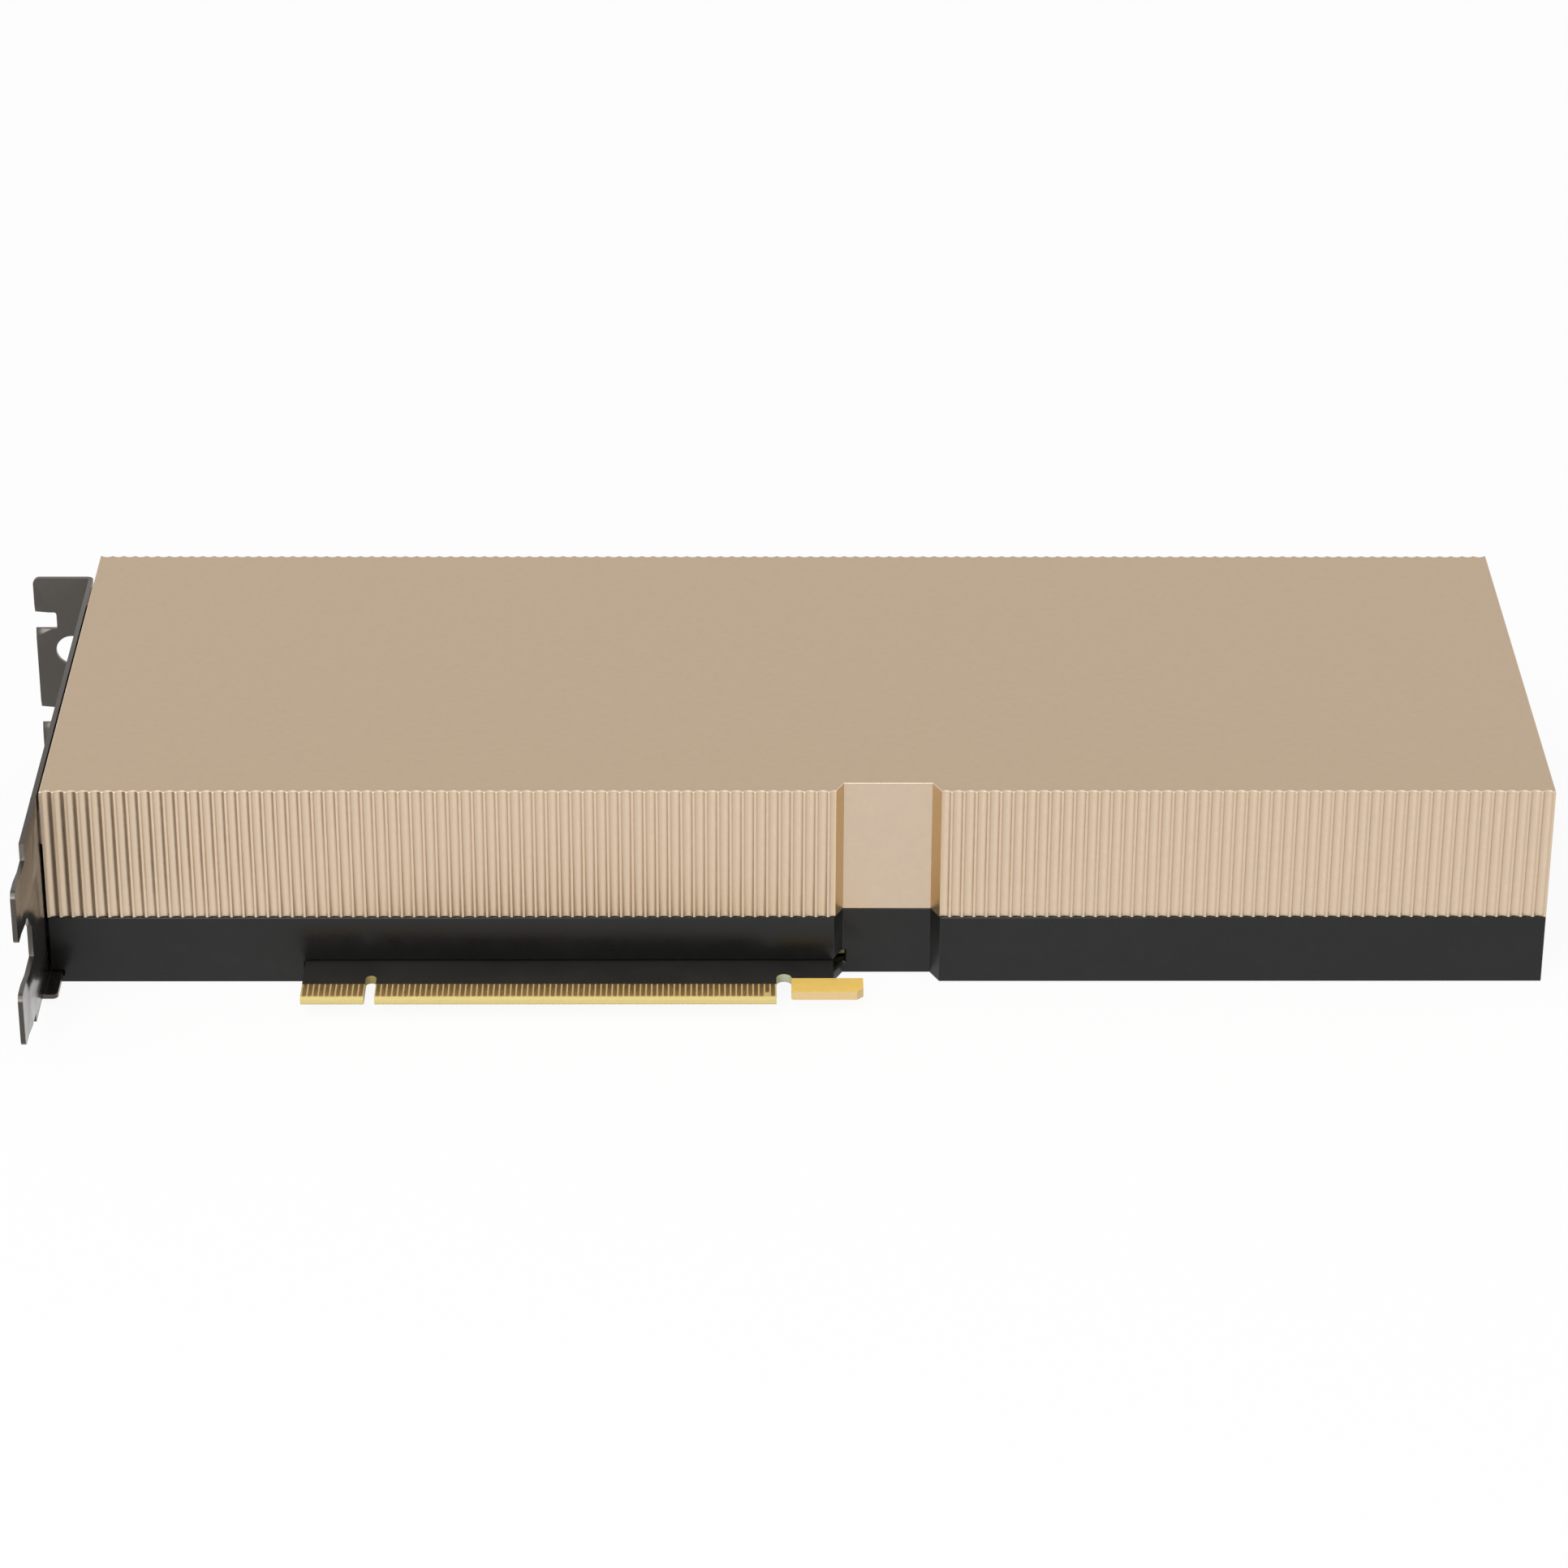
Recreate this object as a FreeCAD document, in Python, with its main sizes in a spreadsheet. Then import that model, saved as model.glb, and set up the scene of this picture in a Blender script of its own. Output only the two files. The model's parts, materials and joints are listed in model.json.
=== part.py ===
import FreeCAD, Part
import os
import Sketcher

# A passive (fanless) dual-slot accelerator card, in millimetres.
# The origin is the middle of the housing's underside. +X runs away from the slot bracket,
# -Y is the side with the edge connector, and +Z is up, away from the underside.

SIZES = {
    # housing: a fluted cover on a flat-walled lower frame
    "housing_length": 267.3,
    "housing_width": 98.0,
    "housing_height": 38.45,
    "frame_height": 13.1,
    "cover_wall": 2.0,
    "cover_roof": 1.6,
    "frame_wall": 2.0,
    "frame_floor": 1.3,
    "end_wall": 1.5,
    "window_sill": 4.6,
    "window_lintel": 2.0,
    "flute_count": 123,
    "flute_land": 0.4,
    "flute_depth": 0.45,
    # recess across the connector side
    "recess_inset": 149.62,
    "recess_floor_width": 15.65,
    "recess_mouth_width": 18.9,
    "recess_depth": 3.35,
    # circuit board and its edge connector, measured from the key notch
    "board_lift": 2.59,
    "board_thickness": 1.57,
    "board_end_gap": 9.25,
    "board_gap": 0.4,
    "key_inset": 57.71,
    "key_width": 1.9,
    "key_depth": 7.85,
    "tongue_reach": 13.1,
    "tongue_start": 12.15,
    "tongue_end": 72.15,
    "tip_bevel": 0.45,
    "gap_width": 2.68,
    "gap_depth": 8.4,
    "neck_end": 82.35,
    "hook_end": 87.55,
    "hook_back": 6.2,
    "hook_front": 11.0,
    "hook_chamfer": 1.1,
    "slot_gap": 0.3,
    "slot_overrun": 0.35,
    # contacts
    "contact_pitch": 1.0,
    "contact_width": 0.7,
    "contact_first": 1.5,
    "contact_start": 8.2,
    "contact_length": 4.1,
    "contact_thickness": 0.05,
    "short_contact": 1.1,
    "contacts_before_key": 11,
    "contacts_after_key": 71,
    # slot bracket; reaches and insets along Y start at the housing's side walls
    "bracket_thickness": 0.86,
    "bracket_gap": 0.42,
    "bracket_low": 0.1,
    "bracket_high": 37.9,
    "flange_inset": 8.2,
    "flange_reach": 11.65,
    "flange_corner": 1.2,
    "bend_radius": 0.4,
    "slot_pitch": 20.32,
    "notch_place": 8.6,
    "notch_width": 3.5,
    "notch_depth": 4.1,
    "notch_corner": 0.5,
    "lock_hole": 6.2,
    "lock_hole_place": 22.55,
    "lock_hole_inset": 6.75,
    "tab_reach": 30.2,
    "shoulder_reach": 18.3,
    "valley_reach": 16.0,
    "tab_root_reach": 20.2,
    "tab_low": 4.1,
    "tab_width": 10.2,
    "tab_corner": 1.4,
    "tab_offset": 0.25,
    "tab_bend_start": 22.5,
    "tab_bend_end": 26.0,
    "heel_low": 2.4,
    "lug_reach": 8.4,
    "lug_width": 2.5,
    "lug_inner_inset": 2.4,
    "lug_inner_width": 7.6,
    "lug_back_inset": 13.0,
    "lug_clearance": 0.25,
    "lug_corner": 1.0,
    "vent_count": 11,
    "vent_pitch": 5.6,
    "vent_width": 3.4,
    "vent_height": 12.0,
    "vent_low": 5.2,
    "vent_rows_pitch": 16.2,
    # fasteners
    "bracket_screw_front": 6.0,
    "bracket_screw_back": 15.0,
    "bracket_screw_drop": 6.45,
    "bracket_screw": 3.0,
    "bracket_screw_head": 5.2,
    "bracket_screw_head_height": 1.2,
    "bracket_screw_length": 6.5,
    "block_width": 8.0,
    "block_length": 8.0,
    "block_height": 9.85,
    "cover_screw": 2.5,
    "cover_screw_head": 4.6,
    "cover_screw_length": 9.0,
    "lug_screw_inset": 7.0,
    "lug_screw_place": 4.9,
    "post_inset": 21.65,
    "post_width": 5.0,
    "screw_clearance": 0.15,
    "thread_depth": 2.0,
    "tail_hole": 3.0,
    "tail_hole_depth": 6.0,
    # heatsink
    "sink_front_gap": 9.65,
    "sink_tail_gap": 25.65,
    "sink_side_gap": 0.8,
    "plate_low": 9.6,
    "plate_thickness": 3.0,
    "pedestal_width": 50.0,
    "fin_count": 41,
    "fin_thickness": 0.4,
    "fin_margin": 0.6,
    "fin_foot": 0.4,
    "fin_top_gap": 0.55,
    "sink_screw_gap": 5.5,
    "sink_screw": 3.0,
    "sink_screw_head": 5.0,
    "sink_screw_head_height": 1.0,
    # processor package
    "package_place": -5.0,
    "package_width": 55.0,
    "package_thickness": 2.0,
    "die_length": 26.0,
    "die_width": 30.0,
    "die_thickness": 0.8,
    "stack_length": 8.0,
    "stack_width": 9.0,
    "stack_gap": 0.8,
    "paste_thickness": 0.1,
    "stiffener_rim": 2.5,
    "stiffener_thickness": 0.6,
    # power parts
    "choke_count": 8,
    "choke_pitch": 9.5,
    "choke_length": 7.0,
    "choke_width": 8.0,
    "choke_height": 4.5,
    "choke_reach": 57.0,
    "stage_length": 6.0,
    "stage_width": 5.0,
    "stage_height": 0.9,
    "stage_shift": 9.0,
    "capacitor_length": 4.3,
    "capacitor_width": 7.3,
    "capacitor_height": 2.8,
    "capacitor_count": 6,
    "capacitor_pitch": 12.0,
    "capacitor_reach": 80.0,
    # power connector
    "plug_setback": 0.45,
    "plug_length": 20.0,
    "plug_width": 18.6,
    "plug_height": 9.8,
    "plug_place": 24.0,
    "plug_pitch": 4.2,
    "plug_cell": 3.3,
    "plug_cell_depth": 12.0,
    "latch_width": 5.0,
    "latch_height": 1.2,
    "latch_length": 9.0,
    "pin_width": 1.0,
    "pin_recess": 1.5,
}

doc = FreeCAD.newDocument("accelerator_card")
sheet = doc.addObject("Spreadsheet::Sheet", "Sizes")
for line, (alias, value) in enumerate(SIZES.items(), start=1):
    sheet.set(f"A{line}", alias)
    sheet.set(f"B{line}", str(value))
    sheet.setAlias(f"B{line}", alias)
doc.recompute()


def cell(text):
    """Turns plain names of sizes into references to the sheet: 'a + b' to 'Sizes.a + Sizes.b'."""
    words = []
    word = ""
    for letter in text + " ":
        if letter.isalnum() or letter == "_":
            word += letter
            continue
        words.append(f"Sizes.{word}" if word in SIZES else word)
        words.append(letter)
        word = ""
    return "".join(words).strip()


def number(text):
    """The present value of an expression in sizes."""
    return float(sheet.evalExpression(cell(text)))


# Cuts run this far past the faces that they open, and joined solids lap by this much
PAST = "1"
LAP = "0.2"

# Lengths that several pieces share, as expressions in the sizes
END = "(housing_length / 2)"
SIDE = "(housing_width / 2)"
ROOF = "(housing_height - cover_roof)"
FLUTE_PITCH = "((housing_length - flute_land) / flute_count)"
FLUTE_CHORD = f"({FLUTE_PITCH} - flute_land)"
FLUTE_RADIUS = f"(({FLUTE_CHORD} * {FLUTE_CHORD} / 4 + flute_depth * flute_depth) / (2 * flute_depth))"
FLUTE_RISE = (f"(sqrt({FLUTE_RADIUS} * {FLUTE_RADIUS} - {FLUTE_CHORD} * {FLUTE_CHORD} / 16)"
              f" - {FLUTE_RADIUS} + flute_depth)")
# A flute's outline: four straight sides that follow its arc, closed outside the wall
FLUTE_POINTS = [("-", "/ 2", "0"), ("-", "/ 4", FLUTE_RISE), ("+", "* 0", "flute_depth"),
                ("+", "/ 4", FLUTE_RISE), ("+", "/ 2", "0"),
                ("+", "/ 2", "(-flute_depth)"), ("-", "/ 2", "(-flute_depth)")]
RECESS = f"(-{END} + recess_inset)"
RECESS_SLOPE = "((recess_mouth_width - recess_floor_width) / 2)"
BOARD_TOP = "(board_lift + board_thickness)"
BOARD_SIDE = f"({SIDE} - frame_wall - board_gap)"
POST_PLACE = f"({END} - post_inset)"
POST_FACE = f"({BOARD_SIDE} - post_width)"
BOARD_END = f"({END} - board_end_gap)"
KEY = f"(-{END} + key_inset)"
BRACKET_FACE = f"(-{END} - bracket_gap)"
BRACKET_OUTSIDE = f"({BRACKET_FACE} - bracket_thickness)"
FLANGE_TOP = f"({SIDE} - flange_inset)"
FINGER_EDGE = f"(-{SIDE} - tongue_reach)"
LUG_TOP = "(frame_floor + bracket_thickness)"
WINDOW_FRONT = f"(-{SIDE} + bracket_screw_front + block_width / 2)"
WINDOW_BACK = f"({SIDE} - bracket_screw_back - block_width / 2)"
SINK_START = f"(-{END} + sink_front_gap)"
SINK_END = f"({END} - sink_tail_gap)"
SINK_SIDE = f"({POST_FACE} - sink_side_gap)"
FIN_PITCH = f"((2 * {SINK_SIDE} - fin_thickness - 2 * fin_margin) / (fin_count - 1))"
SINK_SCREW_SPREAD = "(package_width / 2 + sink_screw_gap)"
PLUG_FACE = f"({END} - plug_setback)"
PLATE_TOP = "(plate_low + plate_thickness)"
DIE_TOP = f"({BOARD_TOP} + package_thickness + die_thickness)"
PASTE_TOP = f"({DIE_TOP} + paste_thickness)"
BLOCK_END = f"(-{END} + block_length)"
BLOCK_LOW = f"({ROOF} - block_height)"
LUG_BACK = f"(-{SIDE} + lug_back_inset)"
LUG_SCREW = (f"({BRACKET_FACE} + lug_screw_place)", f"(-{SIDE} + lug_screw_inset)")


def recess_wall_shift(wall):
    """How far along X the inner face of a wall of this thickness lies behind the recess slope."""
    slant = f"sqrt(recess_depth * recess_depth + {RECESS_SLOPE} * {RECESS_SLOPE})"
    return f"({wall} * ({slant} - {RECESS_SLOPE}) / recess_depth)"


# ---------------------------------------------------------------- modelling helpers

def new_body(label):
    body = doc.addObject("PartDesign::Body", label)
    body.Label = label
    body.AllowCompound = True
    return body


def plane(body, role):
    return next(item for item in body.Origin.OriginFeatures if item.Role == role)


def new_sketch(body, name, role, height="0"):
    """A sketch on an origin plane of the body, moved along the plane's normal."""
    sketch = body.newObject("Sketcher::SketchObject", name)
    sketch.AttachmentSupport = (plane(body, role), [""])
    sketch.MapMode = "FlatFace"
    sketch.setExpression("AttachmentOffset.Base.z", cell(height))
    return sketch


def pin(sketch, geometry, vertex, place):
    """Ties a point of the sketch to two expressions."""
    for kind, axis, text in (("DistanceX", -2, place[0]), ("DistanceY", -1, place[1])):
        value = number(text)
        if abs(value) < 1e-9:
            sketch.addConstraint(Sketcher.Constraint("PointOnObject", geometry, vertex, axis))
            continue
        index = sketch.addConstraint(Sketcher.Constraint(kind, -1, 1, geometry, vertex, value))
        sketch.setExpression(f"Constraints[{index}]", cell(text))


def outline(sketch, places):
    """A closed outline of straight sides through points given as pairs of expressions."""
    first = sketch.GeometryCount
    corners = [FreeCAD.Vector(number(x), number(y), 0) for x, y in places]
    count = len(corners)
    for index in range(count):
        sketch.addGeometry(Part.LineSegment(corners[index], corners[(index + 1) % count]))
    for index in range(count):
        following = first + (index + 1) % count
        sketch.addConstraint(Sketcher.Constraint("Coincident", first + index, 2, following, 1))
    for index, place in enumerate(places):
        pin(sketch, first + index, 1, place)


def rectangle(sketch, low_x, high_x, low_y, high_y):
    outline(sketch, [(low_x, low_y), (high_x, low_y), (high_x, high_y), (low_x, high_y)])


def circle(sketch, x, y, diameter):
    centre = FreeCAD.Vector(number(x), number(y), 0)
    index = sketch.addGeometry(Part.Circle(centre, FreeCAD.Vector(0, 0, 1), number(diameter) / 2))
    pin(sketch, index, 3, (x, y))
    size = sketch.addConstraint(Sketcher.Constraint("Diameter", index, number(diameter)))
    sketch.setExpression(f"Constraints[{size}]", cell(diameter))


def pad(body, sketch, length, name, taper=0.0):
    feature = body.newObject("PartDesign::Pad", name)
    feature.Profile = sketch
    feature.setExpression("Length", cell(length))
    feature.TaperAngle = taper
    return feature


def pocket(body, sketch, length, name):
    """Cuts against the sketch's normal, or both ways right through when length is None."""
    feature = body.newObject("PartDesign::Pocket", name)
    feature.Profile = sketch
    if length is None:
        feature.Type = "ThroughAll"
        feature.SideType = "Symmetric"
    else:
        feature.setExpression("Length", cell(length))
    return feature


def repeat(body, feature, role, spacing, count, name):
    """A row of copies of a feature along an origin axis of the body."""
    pattern = body.newObject("PartDesign::LinearPattern", name)
    pattern.Originals = [feature]
    pattern.Direction = (plane(body, role), [""])
    pattern.Mode = "Spacing"
    pattern.setExpression("Offset", cell(spacing))
    pattern.setExpression("Occurrences", cell(count))
    body.Tip = pattern
    return pattern


def edges_where(feature, test):
    """Names of the feature's edges whose middle point and direction pass the test."""
    names = []
    for index, edge in enumerate(feature.Shape.Edges, start=1):
        middle = edge.valueAt((edge.FirstParameter + edge.LastParameter) / 2)
        along = edge.tangentAt((edge.FirstParameter + edge.LastParameter) / 2)
        if test(middle, along, edge):
            names.append(f"Edge{index}")
    return names


def round_edges(body, feature, test, radius, name):
    doc.recompute()
    names = edges_where(feature, test)
    if not names:
        raise RuntimeError(f"{name}: no edge to round")
    fillet = body.newObject("PartDesign::Fillet", name)
    fillet.Base = (feature, names)
    fillet.setExpression("Radius", cell(radius))
    return fillet


def near(value, text, room=0.01):
    return abs(value - number(text)) < room


def recess_outline(wall=None):
    """The recess as a trapezoid open to -Y, or the inner face of the wall that follows it."""
    if wall is None:
        floor = f"(-{SIDE} + recess_depth)"
        half_floor = "(recess_floor_width / 2)"
        mouth = f"(-{SIDE} - flute_depth)"
        spread = f"({RECESS_SLOPE} * (recess_depth + flute_depth) / recess_depth)"
    else:
        floor = f"(-{SIDE} + recess_depth + {wall})"
        half_floor = f"(recess_floor_width / 2 + {recess_wall_shift(wall)})"
        mouth = f"(-{SIDE} + {wall})"
        spread = RECESS_SLOPE
    half_mouth = f"({half_floor} + {spread})"
    return [(f"{RECESS} - {half_mouth}", mouth), (f"{RECESS} - {half_floor}", floor),
            (f"{RECESS} + {half_floor}", floor), (f"{RECESS} + {half_mouth}", mouth)]


def cavity_outline(sketch, wall, low_x, high_x):
    """The room between the long walls, with the recess standing into it."""
    outline(sketch, [(low_x, f"-{SIDE} + {wall}")] + recess_outline(wall)
            + [(high_x, f"-{SIDE} + {wall}"), (high_x, f"{SIDE} - {wall}"), (low_x, f"{SIDE} - {wall}")])


def end_window(body, name, low, high):
    """The air window in the end wall behind the bracket's vents."""
    plan = new_sketch(body, f"{name}_plan", "YZ_Plane", f"-{END} + end_wall")
    rectangle(plan, WINDOW_FRONT, WINDOW_BACK, low, high)
    pocket(body, plan, "end_wall", name)


def four(x, y):
    """The four mirror images of a place."""
    return [(f"{sign_x}({x})", f"{sign_y}({y})") for sign_x in ("-", "") for sign_y in ("-", "")]


def corner_posts(sketch, outer):
    """Square posts round the cover screws, out to the given distance from the middle."""
    for (x, inner_y), (_, outer_y) in zip(four(POST_PLACE, POST_FACE), four(POST_PLACE, outer)):
        rectangle(sketch, f"{x} - post_width / 2", f"{x} + post_width / 2", inner_y, outer_y)


COVER_SCREWS = four(POST_PLACE, f"{BOARD_SIDE} - post_width / 2")
SINK_SCREWS = [(f"package_place {sign_x} {SINK_SCREW_SPREAD}", f"{sign_y}{SINK_SCREW_SPREAD}")
               for sign_x in ("-", "+") for sign_y in ("-", "")]
BRACKET_SCREWS = [(f"(-{SIDE} + bracket_screw_front)", "(housing_height - bracket_screw_drop)"),
                  (f"({SIDE} - bracket_screw_back)", "(housing_height - bracket_screw_drop)")]


# ---------------------------------------------------------------- housing

def make_cover():
    """Upper shell: a flat roof and two fluted walls, open at both ends."""
    body = new_body("cover")
    blank = new_sketch(body, "cover_plan", "XY_Plane", "frame_height")
    rectangle(blank, f"-{END}", END, f"-{SIDE}", SIDE)
    pad(body, blank, "housing_height - frame_height", "cover_blank")

    room = new_sketch(body, "cover_room", "XY_Plane", ROOF)
    cavity_outline(room, "cover_wall", f"-{END} + end_wall", f"{END} + {PAST}")
    pocket(body, room, f"{ROOF} - frame_height", "cover_cavity")
    end_window(body, "cover_window", "frame_height", f"{ROOF} - window_lintel")

    notch = new_sketch(body, "cover_recess_plan", "XY_Plane", "housing_height")
    outline(notch, recess_outline())
    pocket(body, notch, "housing_height - frame_height", "cover_recess")

    posts = new_sketch(body, "post_plan", "XY_Plane", BOARD_TOP)
    corner_posts(posts, BOARD_SIDE)
    pad(body, posts, f"{ROOF} - {BOARD_TOP}", "posts")
    threads = new_sketch(body, "post_holes", "XY_Plane", BOARD_TOP)
    for x, y in COVER_SCREWS:
        circle(threads, x, y, "cover_screw")
    drill = pocket(body, threads, f"cover_screw_length - {BOARD_TOP} + thread_depth", "post_threads")
    drill.Reversed = True

    blocks = new_sketch(body, "block_plan", "XY_Plane", BLOCK_LOW)
    for side, _ in BRACKET_SCREWS:
        rectangle(blocks, BRACKET_FACE, BLOCK_END, f"{side} - block_width / 2", f"{side} + block_width / 2")
    pad(body, blocks, "block_height", "bracket_blocks")
    holes = new_sketch(body, "block_holes", "YZ_Plane", BRACKET_FACE)
    for side, height in BRACKET_SCREWS:
        circle(holes, side, height, "bracket_screw")
    bore = pocket(body, holes, "bracket_screw_length", "bracket_threads")
    bore.Reversed = True

    groove = new_sketch(body, "flute_section", "XY_Plane", "housing_height")
    first = f"(-{END} + flute_land + {FLUTE_CHORD} / 2)"
    for sign in ("-", ""):
        outline(groove, [(f"{first} {side} {FLUTE_CHORD} {share}", f"{sign}({SIDE} - {depth})")
                         for side, share, depth in FLUTE_POINTS])
    flute = pocket(body, groove, "housing_height - frame_height", "flute")
    repeat(body, flute, "X_Axis", FLUTE_PITCH, "flute_count", "flutes")


def make_frame():
    """Lower tray: a floor and two plain walls, with a slot for the board's edge connector."""
    body = new_body("frame")
    blank = new_sketch(body, "frame_plan", "XY_Plane")
    rectangle(blank, f"-{END}", END, f"-{SIDE}", SIDE)
    pad(body, blank, "frame_height", "frame_blank")

    room = new_sketch(body, "frame_room", "XY_Plane", "frame_height")
    cavity_outline(room, "frame_wall", f"-{END} + end_wall", f"{END} + {PAST}")
    pocket(body, room, "frame_height - frame_floor", "frame_cavity")
    end_window(body, "frame_window", "window_sill", "frame_height")

    notch = new_sketch(body, "frame_recess_plan", "XY_Plane", "frame_height")
    outline(notch, recess_outline())
    pocket(body, notch, "frame_height", "frame_recess")

    slot = new_sketch(body, "slot_plan", "XY_Plane", f"{BOARD_TOP} + slot_gap")
    slot_end = f"{RECESS} - recess_floor_width / 2 + slot_overrun"
    rectangle(slot, f"{KEY} - tongue_start - slot_gap", slot_end,
              f"-{SIDE} - {PAST}", f"-{SIDE} + recess_depth + frame_wall + {LAP}")
    pocket(body, slot, "board_thickness + 2 * slot_gap", "tongue_slot")

    tail = new_sketch(body, "tail_block_plan", "XY_Plane", "frame_floor")
    for sign in ("-", ""):
        rectangle(tail, f"{END} - block_length", END,
                  f"{sign}({SIDE} - frame_wall - block_width)", f"{sign}({SIDE} - frame_wall / 2)")
    pad(body, tail, "frame_height - frame_floor", "tail_blocks")

    passage = new_sketch(body, "lug_passage_plan", "XY_Plane", f"{LUG_TOP} + lug_clearance")
    rectangle(passage, f"-{END} - {PAST}", f"-{END} + end_wall + {LAP}",
              f"-{SIDE} - {PAST}", f"{LUG_BACK} + lug_clearance")
    pocket(body, passage, "bracket_thickness + lug_clearance", "lug_passage")
    window = new_sketch(body, "lug_window_plan", "XY_Plane", f"{LUG_TOP} + lug_clearance")
    rectangle(window, f"-{END} - {PAST}", f"{BRACKET_FACE} + lug_width + lug_clearance",
              f"-{SIDE} - {PAST}", f"-{SIDE} + frame_wall + {LAP}")
    pocket(body, window, "bracket_thickness + lug_clearance", "lug_window")

    bosses = new_sketch(body, "boss_plan", "XY_Plane", "frame_floor")
    corner_posts(bosses, f"{SIDE} - frame_wall / 2")
    pad(body, bosses, "board_lift - frame_floor", "bosses")
    centres = new_sketch(body, "screw_hole_plan", "XY_Plane")
    for x, y in COVER_SCREWS + [LUG_SCREW]:
        circle(centres, x, y, "cover_screw")
    doc.recompute()
    hole = body.newObject("PartDesign::Hole", "screw_holes")
    hole.Profile = centres
    hole.DepthType = "ThroughAll"
    hole.Reversed = True
    hole.setExpression("Diameter", cell("cover_screw + 2 * screw_clearance"))
    hole.HoleCutType = "Countersink"
    hole.HoleCutCustomValues = True
    hole.HoleCutCountersinkAngle = 90
    hole.setExpression("HoleCutDiameter", cell("cover_screw_head + 2 * screw_clearance"))
    doc.recompute()

    tails = new_sketch(body, "tail_hole_plan", "YZ_Plane", END)
    for sign in ("-", ""):
        circle(tails, f"{sign}({SIDE} - frame_wall - block_width / 2)", "frame_height / 2", "tail_hole")
    pocket(body, tails, "tail_hole_depth", "tail_threads")


# ---------------------------------------------------------------- circuit board

def make_board():
    """The board with its x16 edge connector: key notch, second gap and retention hook."""
    body = new_body("circuit_board")
    plan = new_sketch(body, "board_plan", "XY_Plane", "board_lift")
    bump = f"(-{SIDE} + recess_depth + frame_wall + board_gap)"
    bump_half = f"(recess_floor_width / 2 + {recess_wall_shift('frame_wall')} + {RECESS_SLOPE} + board_gap)"
    neck = f"{KEY} + neck_end"
    hook = f"{KEY} + hook_end"
    gap_end = f"{KEY} + tongue_end + gap_width"
    gap_root = f"{FINGER_EDGE} + gap_depth - gap_width / 2"
    outline(plan, [
        (f"{KEY} - tongue_start", FINGER_EDGE), (f"{KEY} - tongue_start", f"-{BOARD_SIDE}"),
        (f"-{BOARD_END}", f"-{BOARD_SIDE}"), (f"-{BOARD_END}", BOARD_SIDE),
        (BOARD_END, BOARD_SIDE), (BOARD_END, f"-{BOARD_SIDE}"),
        (f"{RECESS} + {bump_half}", f"-{BOARD_SIDE}"), (f"{RECESS} + {bump_half}", bump),
        (neck, bump), (neck, f"-{SIDE} - hook_back"),
        (hook, f"-{SIDE} - hook_back"), (hook, f"-{SIDE} - hook_front + hook_chamfer"),
        (f"{hook} - hook_chamfer", f"-{SIDE} - hook_front"), (gap_end, f"-{SIDE} - hook_front"),
        (gap_end, gap_root), (f"{KEY} + tongue_end", gap_root),
        (f"{KEY} + tongue_end", FINGER_EDGE)])
    pad(body, plan, "board_thickness", "board_blank")

    notches = new_sketch(body, "key_plan", "XY_Plane", BOARD_TOP)
    key_root = f"{FINGER_EDGE} + key_depth - key_width / 2"
    rectangle(notches, f"{KEY} - key_width / 2", f"{KEY} + key_width / 2",
              f"{FINGER_EDGE} - {PAST}", key_root)
    pocket(body, notches, "board_thickness", "key_notch")
    rounds = new_sketch(body, "key_round_plan", "XY_Plane", BOARD_TOP)
    circle(rounds, KEY, key_root, "key_width")
    circle(rounds, f"{KEY} + tongue_end + gap_width / 2", gap_root, "gap_width")
    pocket(body, rounds, "board_thickness", "key_rounds")

    holes = new_sketch(body, "board_hole_plan", "XY_Plane", BOARD_TOP)
    for x, y in COVER_SCREWS:
        circle(holes, x, y, "cover_screw + 2 * screw_clearance")
    for x, y in SINK_SCREWS:
        circle(holes, x, y, "sink_screw + 2 * screw_clearance")
    drilled = pocket(body, holes, "board_thickness", "board_holes")

    doc.recompute()

    def tongue_tip(middle, along, edge):
        return near(middle.y, FINGER_EDGE) and abs(along.x) > 0.99

    names = edges_where(drilled, tongue_tip)
    bevel = body.newObject("PartDesign::Chamfer", "tip_bevel")
    bevel.Base = (drilled, names)
    bevel.setExpression("Size", cell("tip_bevel"))


FIRST_CONTACT = f"({KEY} - contact_first - (contacts_before_key - 1) * contact_pitch)"
NEXT_TO_LAST_CONTACT = f"({KEY} + contact_first + (contacts_after_key - 2) * contact_pitch)"


def make_contacts(label, level, sensing):
    """A row of gold-plated contacts on one face; the sensing one is shorter and mates last."""
    body = new_body(label)
    back = f"-{SIDE} - contact_start"
    front = f"({back} - contact_length)"
    rows = (("before", FIRST_CONTACT, "contacts_before_key"),
            ("after", f"{KEY} + contact_first", "contacts_after_key"))
    for name, first, count in rows:
        plan = new_sketch(body, f"{label}_{name}_plan", "XY_Plane", level)
        rectangle(plan, f"{first} - contact_width / 2", f"{first} + contact_width / 2", front, back)
        contact = pad(body, plan, "contact_thickness", f"{label}_{name}_one")
        repeat(body, contact, "X_Axis", "contact_pitch", count, f"{label}_{name}_row")
    tip = new_sketch(body, f"{label}_tip_plan", "XY_Plane", f"{level} + contact_thickness")
    rectangle(tip, f"{sensing} - contact_pitch / 2", f"{sensing} + contact_pitch / 2",
              f"{front} - contact_pitch", f"{front} + short_contact")
    pocket(body, tip, "contact_thickness", f"{label}_tip")


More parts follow.
